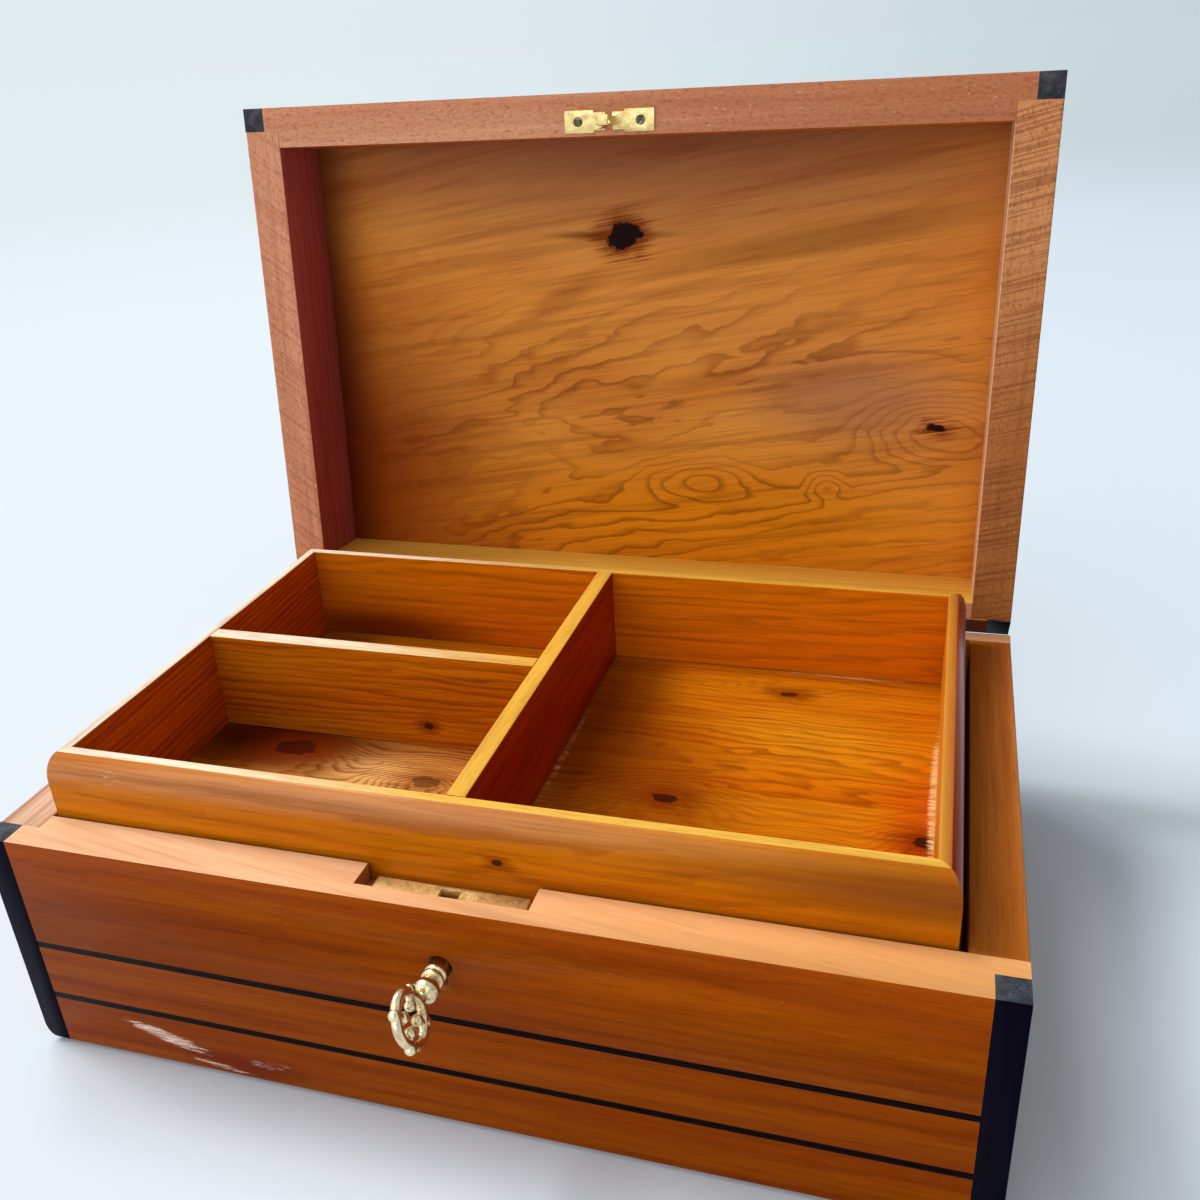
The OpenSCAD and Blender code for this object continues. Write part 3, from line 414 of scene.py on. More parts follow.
# Patches are given as centre, radii and turn, and then a colour and its share, or a cover
WOODS = {
    "front_veneer": dict(
        VENEER, heart=(0, 40, 210), bare="#eccdbb",
        shades=(((-74, FRONT, 6), (34, 5, 7), LEVEL, "#6a1608", 0.7),),
        scuffs=(((-101, FRONT, 12.0), (30, 4, 5.4), (0, -0.26, 0), 0.54),
                ((-84, FRONT, 4.0), (22, 4, 2.2), (0, -0.1, 0), 0.5),
                ((-66, FRONT, 8.5), (18, 4, 4.5), (0, 0.1, 0), 0.42))),
    "end_veneer": dict(VENEER, along="Y", heart=(0, 60, 240)),
    "bare_rim": dict(
        BARE, heart=(0, -220, -60),
        shades=(((150, -FRONT, RIM_TOP), (60, 30, 60), LEVEL, "#cc8c58", 0.8),
                ((170, FRONT, RIM_TOP), (280, 60, 60), LEVEL, "#e89c48", 0.75))),
    # The rims of the end boards. The dark ground colour is painted shade, deepening the tray's
    # shadow on the right rim; the strip at its outer edge is painted lighter where that shadow
    # fades, and the left rim, in full light, is painted pale, painted light
    "bare_end_rim": dict(
        BARE, base="#a05414", dark="#70340c", pale="#b0641e", slant=0, along="Y",
        heart=(0, -260, -60),
        shades=(((151, 0, RIM_TOP), (4, 200, 9), LEVEL, "#c07838", 0.8),
                ((-142, 0, RIM_TOP), (16, 200, 16), LEVEL, "#f6d2b4", 1.0))),
    "inside": INSIDE,
    "inside_end": dict(INSIDE, along="Y"),
    "lid_rim": dict(
        SAWN, heart=(0, -240, 20),
        shades=(((160, -98, RIM_TOP), (240, 60, 60), LEVEL, "#ba6c44", 0.7),)),
    "lid_end_rim": dict(SAWN, along="Y", heart=(0, 230, 30), saw=(34, 1.3, 0.14)),
    # The right end is browner and shows the slanted marks of the saw
    "lid_right_rim": dict(
        SAWN, base="#d8905c", dark="#7c3c1c", pale="#e4a470", specks=0.4, along="Y",
        heart=(0, 230, 30), saw=(-14, 1.0, 0.3), saw_share=0.5,
        shades=(((150, 70, RIM_TOP), (40, 170, 60), LEVEL, "#b06c38", 1.0),)),
    "lid_lining": LINING,
    # The inside of the lid's back board: its near yellow-white ground is painted light, and a zone
    # makes it darker towards the left end
    "lid_back_lining": dict(
        LINING, base="#ffc850", dark="#dc9428", pale="#ffdc6c",
        shades=(((-150, 95, RIM_TOP), (150, 60, 60), LEVEL, "#d89030", 0.8),)),
    # The linings of the lid's ends are shaded and lit copies of the lining: the left one, turned
    # away from the window, is painted dark, painted shade, and the right one, turned towards it, is
    # painted pale, painted light
    "lid_end_lining": dict(LINING, base="#a44a44", dark="#642418", pale="#b4584c", along="Y"),
    "lid_right_lining": dict(LINING, base="#fcd2b0", dark="#d89c70", pale="#ffe0c4", along="Y"),
    "lid_veneer": dict(VENEER, on_lid=True),
    "lid_end_veneer": dict(VENEER, on_lid=True, along="Y"),
    # The rounded top of the tray's front is pinker than the face below
    "tray_wood": dict(
        HONEY, base="#cc7006", pale="#de8c12", dark="#8c4006", ring=4.5, ring_share=0.35,
        fibre=0.3, heart=(0, 60, 190), bare="#f0c090",
        knots=(((11.5, TRAY_FRONT_Y, 87.7), (1.9, 6, 1.2), 6, 0.8, 0.85),),
        # The inside of the back wall is painted brighter orange, painted light, and darker at its
        # lower left end, a painted shadow in the back left compartment
        shades=(((0, BACK_INSIDE, 84), (300, 8, 60), LEVEL, "#e67c0a", 1.0),
                ((-100, BACK_INSIDE, 70), (60, 8, 14), LEVEL, "#702404", 0.9),
                ((-40, TRAY_FRONT_Y, 101), (190, 8, 9), (0, 0.02, 0), "#c88a5c", 0.8),
                ((134, TRAY_FRONT_Y, 96), (90, 40, 12), LEVEL, "#8c4414", 0.8)),
        scuffs=(((-112, TRAY_FRONT_Y, 98), (10, 5, 6), (0, 0.4, 0), 0.42),
                ((-78, TRAY_FRONT_Y, 91), (8, 5, 5), (0, 0.2, 0), 0.4))),
    "tray_end_wood": dict(HONEY, along="Y", heart=(0, 40, 200)),
    # Shaded copies of the tray's wood: faces turned away from the window are painted redder, most
    # of them also darker, painted shade
    "tray_left_wood": dict(HONEY, base="#d25c0c", dark="#7c2c06", pale="#e06c10", along="Y",
                           heart=(0, 40, 200)),
    "tray_outer_wood": dict(HONEY, base="#8c2c10", dark="#480c04", pale="#a03c18", gloss=0.3,
                            along="Y", heart=(0, 40, 200)),
    # The inside of the right wall, turned towards the window, is painted lighter, painted light;
    # its scuff is old glue along the floor
    "tray_right_wood": dict(
        HONEY, base="#ec9428", pale="#f4a83c", along="Y", bare="#f4d09c",
        scuffs=(((RIGHT_INSIDE, 0, FLOOR_TOP + 4), (4, 90, 12), LEVEL, 0.5),)),
    "tray_red_wood": dict(HONEY, base="#a42404", dark="#4c0a02", pale="#c03c08", sheen="#802008",
                          along="Y", heart=(0, 40, 200)),
    "tray_cross_wood": dict(
        HONEY, heart=(0, 70, 160),
        knots=(((-45.5, CROSS_PARTITION, 75.2), (2, 6, 1.4), 5, 0.8, 0.8),)),
    # The top edges are painted nearly white at the left end of the tray, a painted reflection of
    # the window, and fade to yellow
    "tray_rim": dict(
        HONEY_TOP, shades=(((TRAY_LEFT, 0, TRAY_TOP), (140, 400, 60), LEVEL, "#f8ecd4", 1.0),)),
    "tray_end_rim": dict(
        HONEY_TOP, along="Y",
        # Painted reflection of the window, nearly white at the left end
        shades=(((TRAY_LEFT, 0, TRAY_TOP), (60, 400, 60), LEVEL, "#f8ecd4", 1.0),
                ((RIGHT_INSIDE + 5, 0, TRAY_TOP), (10, 400, 60), LEVEL, "#a44c0c", 0.9))),
    # The floor is one flat-sawn board, with figure round its knots. Old glue shows as a pale
    # broken line where it meets the walls
    "tray_floor_wood": dict(
        HONEY, base="#cc6a06", ring=2.2, warp=3.4, warp_size=(110, 24, 24), ring_share=0.75,
        ripple=0.25, heart=(0, 10, 90), bare="#ecbc7c",
        figure=((-60, -15, FLOOR_TOP), (95, 75, 30)), figure_rest=0.7,
        knots=(((42.5, -15, FLOOR_TOP), (5.0, 2.6, 20), 7, 5.0, 0.9),
               ((72, 58, FLOOR_TOP), (4.0, 1.8, 20), 8, 3.4, 0.85),
               ((124, -22, FLOOR_TOP), (3.8, 3.0, 20), 6, 5.0, 0.95),
               ((88, -34, FLOOR_TOP), (6, 4, 20), 4, 5.0, 0.0),
               ((-94, -12, FLOOR_TOP), (9, 5, 20), 4, 5.0, 0.8),
               ((-39, -23, FLOOR_TOP), (5, 3.4, 20), 6, 8.0, 0.55)),
        shades=(((-52, -34, FLOOR_TOP), (74, 56, 30), LEVEL, "#dc9c50", 0.95),
                ((-62, -20, FLOOR_TOP), (24, 16, 30), LEVEL, "#f6b86c", 0.9),
                ((-104, -8, FLOOR_TOP), (64, 34, 30), LEVEL, "#300c04", 1.0),
                # Darker in the back left compartment: painted shadow
                ((-100, 52, FLOOR_TOP), (90, 40, 30), LEVEL, "#6c2404", 0.8),
                # Darker beside the partition: partly painted shade of the partition, partly darker
                # streaks in the grain
                ((22, 6, FLOOR_TOP), (48, 110, 30), (0, 0, -0.5), "#7c3404", 0.8),
                ((86, 28, FLOOR_TOP), (50, 26, 30), (0, 0, 0.2), "#e09418", 0.7),
                ((128, -26, FLOOR_TOP), (26, 60, 30), LEVEL, "#c43c04", 0.7)),
        scuffs=(((RIGHT_INSIDE, 0, FLOOR_TOP), (5, 84, 6), LEVEL, 0.55),
                ((92, BACK_INSIDE, FLOOR_TOP), (56, 4, 6), LEVEL, 0.5),
                ((PARTITION + 4, 5, FLOOR_TOP), (3, 70, 6), LEVEL, 0.45))),
    # The lid's panel is the show piece: swirling figure, one black knot and two ringed eyes
    "lid_figure": dict(
        base="panel", dark="#7c3408", pale="panel_pale", on_lid=True, heart=(0, 20, 60),
        tilt=(0, 0.04, 0.1), slant=9, ring=4.6, ring_share=0.62, ring_edge=(0.5, 0.95), warp=3.0,
        warp_size=(120, 36, 60), ripple=0.45, ripple_size=(15, 6, 6),
        figure=((30, 42, PANEL_Z), (230, 84, 60)), cloud=0.7, cloud_size=(120, 26, 26),
        streak=0.35, streak_size=(90, 5, 5), fibre=0.25, fibre_size=(34, 0.8, 0.8), rough=0.34,
        gloss=0.05, coat=0.04, coat_rough=0.12, bump=0.003, sheen="#c06820",
        knot_tone="#150708", halo=-0.3,
        knots=(((-6.1, -48.5, PANEL_Z), (6.8, 5.4, 60), 3.0, 1.2, 1.0),
               ((118.2, 23.9, PANEL_Z), (4.6, 2.3, 60), 9.0, 5.0, 0.95),
               ((25.5, 48.7, PANEL_Z), (30, 11, 60), 1.2, 3.4, 0.0),
               ((76.7, 49.2, PANEL_Z), (9, 7, 60), 1.3, 2.4, 0.0)),
        shades=(((0, -95, PANEL_Z), (260, 75, 60), LEVEL, "#8c5444", 0.8),
                ((40, -18, PANEL_Z), (130, 34, 60), (0, 0, -0.12), "#e09040", 0.8),
                ((88, 14, PANEL_Z), (62, 26, 60), LEVEL, "#9a6656", 0.55),
                ((-10, -48.5, PANEL_Z), (36, 2.6, 60), LEVEL, "#5c2408", 0.9),
                ((-6, -48.5, PANEL_Z), (16, 13, 60), LEVEL, "#84401c", 0.7),
                ((70, -46, PANEL_Z), (105, 8, 60), (0, 0, 0.155), "#7c3c10", 0.5),
                ((-32, -24, PANEL_Z), (36, 7, 60), (0, 0, 0.5), "#8c481c", 0.4),
                ((30, 72, PANEL_Z), (190, 52, 60), LEVEL, "#ea9018", 1.0),
                # Darker at the lower left: painted shadow of the lid's left board
                ((-138, 50, PANEL_Z), (110, 110, 60), LEVEL, "#8a3404", 0.9),
                # Dark band along the left edge: painted shadow and painted reflection of the lid's
                # left board
                ((-142, 0, PANEL_Z), (30, 220, 60), LEVEL, "#54180c", 0.9))),
    "panel_veneer": dict(VENEER, warp=2.6, warp_size=(150, 40, 40), heart=(0, 30, 160),
                         on_lid=True),
    "ebony": EBONY,
    # The lines are thin strips of the same wood, browner in the thin edge
    "ebony_line": dict(EBONY, base="#0c0406", dark="#050204", pale="#160806"),
    "ebony_end": EBONY_END,
    "ebony_lid_end": dict(EBONY_END, on_lid=True),
}

METALS = {
    # Old stamped brass, pitted and brown in the pits
    "aged_brass": dict(base="old_brass", dark="#ac8844", rough=0.55, pit=0.6, pit_size=0.7,
                       pit_depth=0.05),
    # Newer pale brass, rolled, with fine lines
    "pale_brass": dict(base="#e2ca8c", dark="#b8985a", rough=0.32, pit=0.3, brush=0.6),
    # Cast and tumbled key brass: soft mirror reflections
    "key_brass": dict(base="key_brass", dark="#a88850", rough=0.16, pit=0.2, pit_size=1.4,
                      pit_depth=0.04),
    # Screw heads gone dull and olive
    "dull_screws": dict(base="#7c765c", dark="#3c3828", rough=0.5, pit=0.4, pit_size=0.5),
    # Plain mild steel of the spring
    "steel": dict(base="#b9bcc0", dark="#84878c", rough=0.3, brush=0.4),
}

FINISHES = {}


def finish(name):
    """The material of that name, made when it is first asked for."""
    if name not in FINISHES:
        FINISHES[name] = wood(name, **WOODS[name]) if name in WOODS else metal(name, **METALS[name])
    return FINISHES[name]


# ------------------------------------------------------------------ pieces

MERGE_GAP = 0.002 * MM          # points of a CAD solid nearer than this are one
FLAT_TURN = math.radians(0.4)   # faces that turn less than this are one
SHARP_TURN = math.radians(28)   # edges that turn more than this are eased
HEAD_CORNERS = 16               # a screw's round head has more corners than this,
HEAD_AREA = 0.8                 # and at least this share of the widest round face
FIRST_SLOT, NEXT_SLOT = 0.5, 1.1  # turn of the first screw's slot, and from each to the next
POST_EASE, LINE_EASE, SPRING_EASE, SCREW_EASE = 0.3 * MM, 0.1 * MM, 0.05 * MM, 0.08 * MM
OUTSIDE, RIM, WITHIN, END = range(4)  # a board's faces, in the order of its finishes


def merged(node):
    """A bmesh copy of a CAD solid with its triangles joined into whole faces."""
    bm = bmesh.new()
    bm.from_mesh(frame["nodes"][node].data)
    bmesh.ops.remove_doubles(bm, verts=bm.verts, dist=MERGE_GAP)
    bmesh.ops.dissolve_limit(bm, angle_limit=FLAT_TURN, verts=bm.verts, edges=bm.edges)
    return bm


def body_of(node):
    """The body that a CAD solid belongs to."""
    return frame["nodes"][node]["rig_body"]


def show(bm, node, finishes, width):
    """Makes a bmesh the piece that stands for a CAD solid and rides on its body, with eased edges
    where they are weighted."""
    mesh = bpy.data.meshes.new("piece_" + node)
    bm.to_mesh(mesh)
    bm.free()
    for name in finishes:
        mesh.materials.append(finish(name))
    piece = bpy.data.objects.new("piece_" + node, mesh)
    bpy.context.scene.collection.objects.link(piece)
    ease = piece.modifiers.new("Eased edges", "BEVEL")
    ease.limit_method = "WEIGHT"
    ease.width = width
    ease.segments = bpy.context.scene.box_edges.steps
    ease.harden_normals = True
    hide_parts(node)
    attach(piece, body_of(node))


def weigh(bm, weight):
    """Gives each sharp outside edge a bevel weight, and keeps sharp inside edges sharp."""
    layer = bm.edges.layers.float.new("bevel_weight_edge")
    for face in bm.faces:
        face.smooth = True
    for edge in bm.edges:
        if len(edge.link_faces) != 2 or abs(edge.calc_face_angle_signed(0)) < SHARP_TURN:
            continue
        if edge.calc_face_angle_signed(0) > 0:
            edge[layer] = weight(edge)
        edge.smooth = edge[layer] > 0


def dress(node, finishes, zone=None, along=None, crisp=(), width=None):
    """Dresses one CAD solid. zone picks a face's finish from its middle and the way it looks.
    Edges that run along the board are eased more than the joints at its ends and the edges at
    the heights in crisp."""
    edges = bpy.context.scene.box_edges
    on_lid = body_of(node) == "lid"
    bm = merged(node)
    if zone:
        for face in bm.faces:
            at, look = face.calc_center_median(), face.normal.copy()
            if on_lid:
                at, look = shut(at), SHUT_TURN @ look
            face.material_index = zone(at / MM, look)
    axis = {"X": 0, "Y": 1, "Z": 2}.get(along)
    width = width or edges.eased
    joint = min(1.0, edges.joint / width)

    def weight(edge):
        if axis is None:
            return 1.0
        run = (edge.verts[0].co - edge.verts[1].co).normalized()
        at = (edge.verts[0].co + edge.verts[1].co) / 2 / MM
        if on_lid:
            run = SHUT_TURN @ run
        crosses = abs(run[axis]) < 0.95
        return joint if crosses or any(abs(at.z - z) < 0.2 for z in crisp) else 1.0

    weigh(bm, weight)
    show(bm, node, finishes, width)


def outward(axis, sign, rim):
    """A zone rule for a board of the base, with rim 1, or of the lid, with rim -1. Its outside
    looks the way of sign along axis. The way a face looks is told by its normal's cosines, and
    lengths are millimetres."""
    def zone(at, look):
        if abs(look[1 - axis]) > 0.6 and abs(at[1 - axis]) > SIDE - 2:
            return END
        if look.z * rim > 0.9 and abs(at.z - RIM_TOP) < 0.5:
            return RIM
        if look[axis] * sign > 0.25 or look.z * rim < -0.6:
            return OUTSIDE
        return WITHIN
    return zone


def put_in_order(bm, known):
    """Numbers the parts of a bmesh the same way in each run: those in known as they were, and
    behind them the others by their places."""
    def number_of(part):
        points = getattr(part, "verts", [part])
        places = sorted(tuple(round(c / MERGE_GAP) for c in point.co) for point in points)
        return known.get(part, len(known)), places

    for parts in (bm.verts, bm.edges, bm.faces):
        order = {part: number for number, part in enumerate(sorted(parts, key=number_of))}
        parts.sort(key=order.get)
        parts.index_update()


def slotted(node, width=0.55, depth=0.5):
    """Dresses countersunk screws and cuts a driver slot in each head, turned as it was driven.
    The width and depth of the slots are millimetres."""
    bm = merged(node)
    round_faces = [f for f in bm.faces if len(f.verts) > HEAD_CORNERS]
    widest = max(f.calc_area() for f in round_faces)
    heads = [f for f in round_faces if f.calc_area() > widest * HEAD_AREA]
    heads.sort(key=lambda f: tuple(round(c, 4) for c in f.calc_center_median()))
    # The parts that no cut changes keep their order
    known = {part: number for parts in (bm.verts, bm.edges, bm.faces)
             for number, part in enumerate(parts)}
    for head in heads:
        for part in (head, *head.edges):
            known.pop(part, None)
    for number, head in enumerate(heads):
        centre, normal = head.calc_center_median(), head.normal.copy()
        side = normal.orthogonal().normalized()
        side.rotate(Matrix.Rotation(FIRST_SLOT + NEXT_SLOT * number, 3, normal))
        faces = [head]
        for sign in (-1, 1):
            parts = dict.fromkeys(part for f in faces for part in (f, *f.verts, *f.edges))
            cut = bmesh.ops.bisect_plane(bm, geom=list(parts), dist=1e-7, plane_no=side * sign,
                                         plane_co=centre + side * sign * width * MM / 2)
            faces = [g for g in cut["geom"] if isinstance(g, bmesh.types.BMFace)]
        strip = min(faces, key=lambda f: (f.calc_center_median() - centre).length)
        moved = bmesh.ops.extrude_face_region(bm, geom=[strip])
        verts = [g for g in moved["geom"] if isinstance(g, bmesh.types.BMVert)]
        bmesh.ops.translate(bm, verts=verts, vec=-normal * depth * MM)
    put_in_order(bm, known)
    weigh(bm, lambda edge: 1.0)
    show(bm, node, ["dull_screws"], SCREW_EASE)


# ------------------------------------------------------------------ sizes and colours to change


class BoxEdges(bpy.types.PropertyGroup):
    """How the edges of the box are worked."""
    eased: bpy.props.FloatProperty(
        name="Eased edges", description="Rounding of the edges that the hand meets",
        default=0.55 * MM, min=0.05 * MM, max=1.5 * MM, unit="LENGTH", precision=5)
    joint: bpy.props.FloatProperty(
        name="Joint edges", description="Rounding of the edges where two boards meet",
        default=0.12 * MM, min=0.0, max=0.5 * MM, unit="LENGTH", precision=5)
    metal: bpy.props.FloatProperty(
        name="Metal edges", description="Rounding of the edges of the brass pieces",
        default=0.15 * MM, min=0.02 * MM, max=0.4 * MM, unit="LENGTH", precision=5)
    steps: bpy.props.IntProperty(
        name="Steps", description="Facets across a rounded edge", default=2, min=1, max=5)


def swatch(label, description, code):
    """A colour that can be changed in the panel."""
    return bpy.props.FloatVectorProperty(name=label, description=description, subtype="COLOR",
                                         default=srgb(code), min=0.0, max=1.0)


class BoxColours(bpy.types.PropertyGroup):
    """The colours of the woods and the metals."""
    varnish: swatch("Varnished veneer", "Ground colour of the outside", "#8a3902")
    varnish_pale: swatch("Veneer, pale clouds", "Lighter clouds of the outside", "#a65204")
    bare_wood: swatch("Bare rims", "Ground colour of the rims of the base", "#e8b68c")
    sawn_wood: swatch("Sawn rims", "Ground colour of the rims of the lid", "#d8926e")
    honey: swatch("Tray", "Ground colour of the tray", "#c86806")
    honey_pale: swatch("Tray, pale clouds", "Lighter clouds of the tray", "#e08e12")
    panel: swatch("Lid panel", "Ground colour of the figured panel", "#d88434")
    panel_pale: swatch("Lid panel, pale clouds", "Lighter clouds of the figured panel", "#f0a444")
    black_wood: swatch("Black wood", "The corner posts and the lines", "#020212")
    old_brass: swatch("Old brass", "The lock plate and the hinges", "#ffe09a")
    key_brass: swatch("Key brass", "The key", "#fae6bc")


class BoxStage(bpy.types.PropertyGroup):
    """The studio round the box."""
    lamp: bpy.props.FloatProperty(
        name="Lamp", description="Strength of the window light", default=1.9, min=0.0, max=10.0)
    fill: bpy.props.FloatProperty(
        name="Fill", description="Strength of the soft light from the front", default=1.25,
        min=0.0, max=10.0)
    softness: bpy.props.FloatProperty(
        name="Softness", description="How wide the window light is", default=math.radians(18),
        min=0.0, max=math.pi / 2, subtype="ANGLE")
    sky: bpy.props.FloatProperty(
        name="Room light", description="Strength of the light from all round", default=0.34,
        min=0.0, max=2.0)
    # The floor's two colours paint it lighter towards the window, painted light
    floor_light: swatch("Floor, light side", "Colour of the floor towards the window", "#dce3ea")
    floor_dark: swatch("Floor, far side", "Colour of the floor away from the window", "#cedae3")
    lens: bpy.props.FloatProperty(
        name="Lens", description="Focal length of the camera", default=34.67, min=10.0,
        max=200.0, unit="CAMERA")


# ------------------------------------------------------------------ operators

# Each side of the box with the axis and the way that its board faces, and the finishes of the
# board outside, on the rim and within, first of the base and then of the lid
BASE_LONG = ("front_veneer", "bare_rim", "inside")
BASE_END = ("end_veneer", "bare_end_rim", "inside_end")
SIDES = (
    ("front", 1, -1, BASE_LONG, ("lid_veneer", "lid_rim", "lid_lining")),
    ("back", 1, 1, BASE_LONG, ("lid_veneer", "lid_rim", "lid_back_lining")),
    ("left", 0, -1, BASE_END, ("lid_end_veneer", "lid_end_rim", "lid_end_lining")),
    ("right", 0, 1, BASE_END, ("lid_end_veneer", "lid_right_rim", "lid_right_lining")),
)
# Heights of the edges along the black lines, in millimetres
GROOVES = sorted({round(v.co.z / MM, 1) for v in frame["nodes"]["front_lines"].data.vertices})


class BOX_OT_base_boards(bpy.types.Operator):
    """Dress the four boards of the base"""
    bl_idname = "box.base_boards"
    bl_label = "Base boards"

    def execute(self, context):
        for side, axis, sign, finishes, _ in SIDES:
            dress(side + "_board", (*finishes, "end_veneer"), outward(axis, sign, 1), "YX"[axis],
                  crisp=GROOVES)
        return {"FINISHED"}


class BOX_OT_posts(bpy.types.Operator):
    """Dress the black corner posts of the base and the lid"""
    bl_idname = "box.posts"
    bl_label = "Corner posts"

    def execute(self, context):
        for depth in ("front", "back"):
            for side in ("left", "right"):
                for lid, end_grain, up in (("", "ebony_end", 1), ("lid_", "ebony_lid_end", -1)):
                    dress(f"{lid}post_{depth}_{side}", ("ebony", end_grain),
                          lambda at, look, up=up: int(look.z * up > 0.9
                                                      and (at.z - RIM_TOP) * up > -1),
                          "Z", width=POST_EASE)
        return {"FINISHED"}


class BOX_OT_inlay(bpy.types.Operator):
    """Dress the black lines let into the four sides"""
    bl_idname = "box.inlay"
    bl_label = "Black lines"

    def execute(self, context):
        for side in ("front", "back", "left", "right"):
            dress(side + "_lines", ["ebony_line"], width=LINE_EASE)
        return {"FINISHED"}


class BOX_OT_bottom(bpy.types.Operator):
    """Dress the bottom and the ledges that the tray stands on"""
    bl_idname = "box.bottom"
    bl_label = "Bottom and ledges"

    def execute(self, context):
        dress("bottom_panel", ["inside"])
        dress("ledge_left", ["inside_end"])
        dress("ledge_right", ["inside_end"])
        return {"FINISHED"}


class BOX_OT_lid_boards(bpy.types.Operator):
    """Dress the four boards of the lid"""
    bl_idname = "box.lid_boards"
    bl_label = "Lid boards"

    def execute(self, context):
        for side, axis, sign, _, finishes in SIDES:
            dress(f"lid_{side}_board", (*finishes, "lid_end_veneer"), outward(axis, sign, -1),
                  "YX"[axis])
        return {"FINISHED"}


class BOX_OT_lid_panel(bpy.types.Operator):
    """Dress the figured panel of the lid"""
    bl_idname = "box.lid_panel"
    bl_label = "Lid panel"

    def execute(self, context):
        dress("lid_panel", ["lid_figure", "panel_veneer"], lambda at, look: int(look.z > 0.5))
        return {"FINISHED"}


class BOX_OT_tray(bpy.types.Operator):
    """Dress the walls, the floor and the partitions of the lift-out tray"""
    bl_idname = "box.tray"
    bl_label = "Tray"

    def execute(self, context):
        def top(at, look):
            return RIM if look.z > 0.9 and at.z > TRAY_TOP - 1 else OUTSIDE

        def facing_right(at, look):
            return WITHIN if look.x > 0.5 else top(at, look)

        def facing_left(at, look):
            return WITHIN if look.x < -0.5 else top(at, look)

        walls = (
            ("front", ("tray_wood", "tray_rim"), top, "X"),
            ("back", ("tray_wood", "tray_rim"), top, "X"),
            ("left", ("tray_end_wood", "tray_end_rim", "tray_left_wood"), facing_right, "Y"),
            ("right", ("tray_outer_wood", "tray_end_rim", "tray_right_wood"), facing_left, "Y"),
            ("partition", ("tray_end_wood", "tray_end_rim", "tray_red_wood"), facing_right, "Y"),
            ("cross_partition", ("tray_cross_wood", "tray_rim"), top, "X"))
        for wall, finishes, zone, along in walls:
            dress("tray_" + wall, finishes, zone, along)
        dress("tray_floor", ["tray_floor_wood"])
        return {"FINISHED"}


class BOX_OT_hinges(bpy.types.Operator):
    """Dress the two hinges with their pins and screws"""
    bl_idname = "box.hinges"
    bl_label = "Hinges"

    def execute(self, context):
        width = context.scene.box_edges.metal
        for side in ("left", "right"):
            for node in ("hinge_base_leaf_", "hinge_lid_leaf_", "hinge_pin_"):
                dress(node + side, ["aged_brass"], width=width)
        slotted("hinge_base_screws")
        slotted("hinge_lid_screws")
        return {"FINISHED"}


class BOX_OT_lock(bpy.types.Operator):
    """Dress the lock: its plates, case, bolt, spring, pins, rivets and screws"""
    bl_idname = "box.lock"
    bl_label = "Lock"

    def execute(self, context):
        width = context.scene.box_edges.metal
        for part in ("plate", "case", "key_pin", "stud", "rivets", "bolt"):
            dress("lock_" + part, ["aged_brass"], width=width)
        dress("bolt_spring", ["steel"], width=SPRING_EASE)
        slotted("lock_screws")
        return {"FINISHED"}


class BOX_OT_striker(bpy.types.Operator):
    """Dress the striker plate on the lid and its screws"""
    bl_idname = "box.striker"
    bl_label = "Striker"

    def execute(self, context):
        dress("striker", ["pale_brass"], width=context.scene.box_edges.metal)
        slotted("striker_screws")
        return {"FINISHED"}


class BOX_OT_key(bpy.types.Operator):
    """Dress the key"""
    bl_idname = "box.key"
    bl_label = "Key"

    def execute(self, context):
        dress("key", ["key_brass"], width=context.scene.box_edges.metal)
        return {"FINISHED"}


# ------------------------------------------------------------------ stage

FLOOR_HALF = 90                     # metres from the middle of the floor to its edge
NEAR_FLOOR = (0.5, 3.5)             # metres over which the floor fades to the room's colours
# Far floor and backdrop are painted lighter towards the window than away from it, painted light
FAR_FLOOR = ("#d0d9db", "#b5c2c7")  # floor far away, towards the window and away from it
BACKDROP = ("#e2ebf0", "#c3d2d9")   # room behind, towards the window and away from it
ROOM_LIGHT = "#eef4f8"
FAR_WINDOW = 0.45                   # strength of the second window, as a share of the first
FILL_WIDTH = math.radians(75)
SENSOR = 36                         # width of the camera's sensor, in millimetres
CAMERA_AT = (0.11941, -0.31622, 0.28766)
CAMERA_TURNS = ((0.3059, "Z"), (-0.4463, "X"), (0.0591, "Y"), (math.pi / 2, "X"))


def side_tones(tree, bearing, codes):
    """A colour that goes from the first code to the second as a direction turns to the right."""
    across = add(tree, "VectorMath", (bearing, (1.0, 0.0, 0.0)), out="Value",
                 operation="DOT_PRODUCT")
    share = add(tree, "MapRange", (across, -0.5, 0.3))
    return add(tree, "Mix", {0: share, 6: srgb(codes[0]), 7: srgb(codes[1])}, out=COLOUR_OUT)


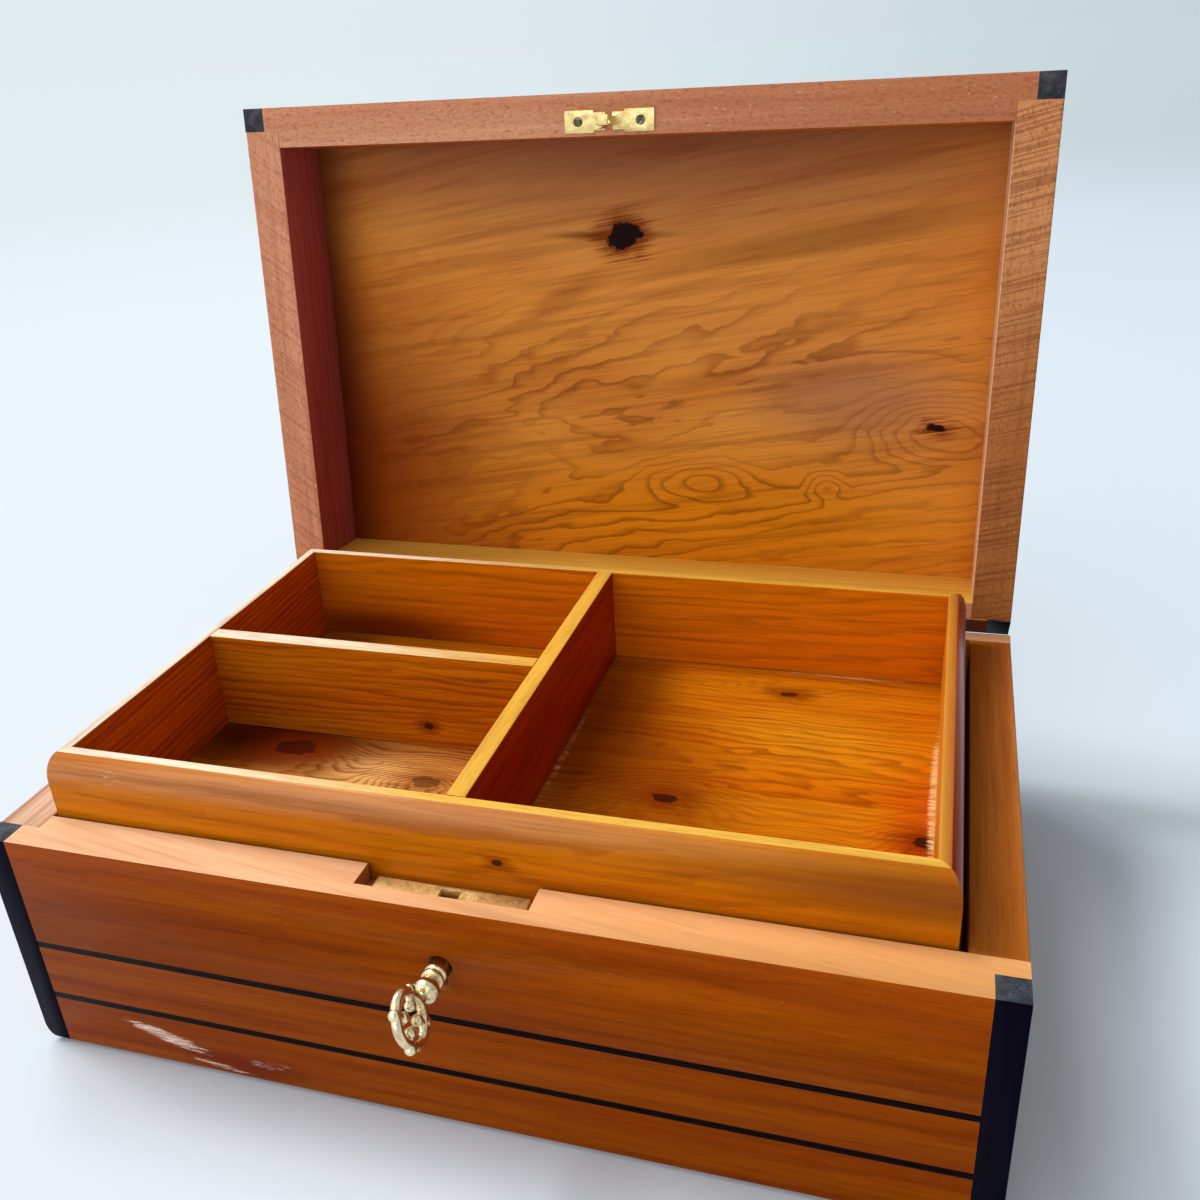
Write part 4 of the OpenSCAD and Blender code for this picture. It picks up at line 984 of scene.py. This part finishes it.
def lay_floor(stage):
    """A wide pale floor, painted lighter towards the window: painted light."""
    bm = bmesh.new()
    bmesh.ops.create_grid(bm, x_segments=8, y_segments=8, size=FLOOR_HALF)
    mesh = bpy.data.meshes.new("floor")
    bm.to_mesh(mesh)
    bm.free()
    floor = bpy.data.objects.new("floor", mesh)
    bpy.context.scene.collection.objects.link(floor)
    material, tree = new_material("studio_floor")
    place = add(tree, "TexCoord", out="Object")
    # Painted light: the near floor is lighter towards the window and darker away from it
    split = add(tree, "VectorMath", (place, (0.9, 0.35, 0.0)), out="Value",
                operation="DOT_PRODUCT")
    share = add(tree, "MapRange", (split, -0.45, 0.75))
    near = add(tree, "Mix", {0: share, 6: tuple(stage.floor_light), 7: tuple(stage.floor_dark)},
               out=COLOUR_OUT)
    # Far away the floor takes the room's colours, so that no horizon shows
    bearing = add(tree, "VectorMath", (place,), operation="NORMALIZE")
    far = side_tones(tree, bearing, FAR_FLOOR)
    gone = add(tree, "VectorMath", (place,), out="Value", operation="LENGTH")
    gone = add(tree, "MapRange", (gone, *NEAR_FLOOR))
    tone = add(tree, "Mix", {0: gone, 6: near, 7: far}, out=COLOUR_OUT)
    shader = add(tree, "BsdfPrincipled", {"Base Color": tone, "Roughness": 0.9,
                                          "Specular IOR Level": 0.0})
    add(tree, "OutputMaterial", {"Surface": shader})
    mesh.materials.append(material)


def hang_lamps(stage):
    """Two lamps from the window's side and a soft one from the front."""
    for name, strength, width, towards in (
            ("window", stage.lamp, stage.softness, (-0.60, 0.08, 0.80)),
            ("far_window", stage.lamp * FAR_WINDOW, stage.softness, (-0.35, 0.28, 0.89)),
            ("fill", stage.fill, FILL_WIDTH, (-0.33, -0.83, 0.45))):
        lamp = bpy.data.lights.new(name, "SUN")
        lamp.energy = strength
        lamp.angle = width
        source = bpy.data.objects.new(name, lamp)
        source.rotation_euler = Vector(towards).to_track_quat("Z", "Y").to_euler()
        bpy.context.scene.collection.objects.link(source)


def light_room(stage):
    """A room of even light, whose backdrop the camera, glass and metal see at full strength."""
    world = bpy.data.worlds.new("room")
    world.use_nodes = True
    tree = world.node_tree
    tree.nodes.clear()
    ray = tree.nodes.new("ShaderNodeLightPath")
    seen = add(tree, "Math", (ray.outputs["Is Camera Ray"], ray.outputs["Is Glossy Ray"]),
               operation="MAXIMUM")
    seen = add(tree, "Math", (seen, ray.outputs["Is Transmission Ray"]), operation="MAXIMUM")
    room = add(tree, "Background", {"Color": srgb(ROOM_LIGHT), "Strength": stage.sky})
    bearing = add(tree, "TexCoord", out="Generated")
    # The backdrop is painted lighter towards the window, painted light
    pale = side_tones(tree, bearing, BACKDROP)
    look = add(tree, "Background", {"Color": pale, "Strength": 1.0})
    mixed = add(tree, "MixShader", (seen, room, look))
    add(tree, "OutputWorld", {"Surface": mixed})
    bpy.context.scene.world = world


def place_camera(stage):
    """The camera, in front of the box and to its right, looking down into the tray."""
    data = bpy.data.cameras.new("camera")
    data.lens = stage.lens
    data.sensor_width = SENSOR
    data.clip_end = 400
    camera = bpy.data.objects.new("camera", data)
    pose = Matrix.Translation(CAMERA_AT)
    for angle, axis in CAMERA_TURNS:
        pose = pose @ Matrix.Rotation(angle, 4, axis)
    camera.matrix_world = pose
    bpy.context.scene.collection.objects.link(camera)
    bpy.context.scene.camera = camera


class BOX_OT_stage(bpy.types.Operator):
    """Set the floor, the light and the camera"""
    bl_idname = "box.stage"
    bl_label = "Stage"

    def execute(self, context):
        for step in (lay_floor, hang_lamps, light_room, place_camera):
            step(context.scene.box_stage)
        context.scene.view_settings.view_transform = "Standard"
        return {"FINISHED"}


OPERATORS = (BOX_OT_base_boards, BOX_OT_posts, BOX_OT_inlay, BOX_OT_bottom, BOX_OT_lid_boards,
             BOX_OT_lid_panel, BOX_OT_tray, BOX_OT_hinges, BOX_OT_lock, BOX_OT_striker, BOX_OT_key,
             BOX_OT_stage)


class BOX_PT_panel(bpy.types.Panel):
    """The box's sizes and its steps"""
    bl_idname = "BOX_PT_panel"
    bl_label = "Keepsake box"
    bl_space_type = "VIEW_3D"
    bl_region_type = "UI"
    bl_category = "Keepsake box"

    def draw(self, context):
        for group in (context.scene.box_edges, context.scene.box_colours, context.scene.box_stage):
            for name in group.__annotations__:
                self.layout.prop(group, name)
        for step in OPERATORS:
            self.layout.operator(step.bl_idname)


CLASSES = (BoxEdges, BoxColours, BoxStage, *OPERATORS, BOX_PT_panel)


def register():
    for item in CLASSES:
        bpy.utils.register_class(item)
    bpy.types.Scene.box_edges = bpy.props.PointerProperty(type=BoxEdges)
    bpy.types.Scene.box_colours = bpy.props.PointerProperty(type=BoxColours)
    bpy.types.Scene.box_stage = bpy.props.PointerProperty(type=BoxStage)


def unregister():
    del bpy.types.Scene.box_stage
    del bpy.types.Scene.box_colours
    del bpy.types.Scene.box_edges
    for item in reversed(CLASSES):
        bpy.utils.unregister_class(item)


def main():
    """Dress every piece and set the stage."""
    register()
    for step in OPERATORS:
        group, name = step.bl_idname.split(".")
        getattr(getattr(bpy.ops, group), name)()


if __name__ == "__main__":
    main()
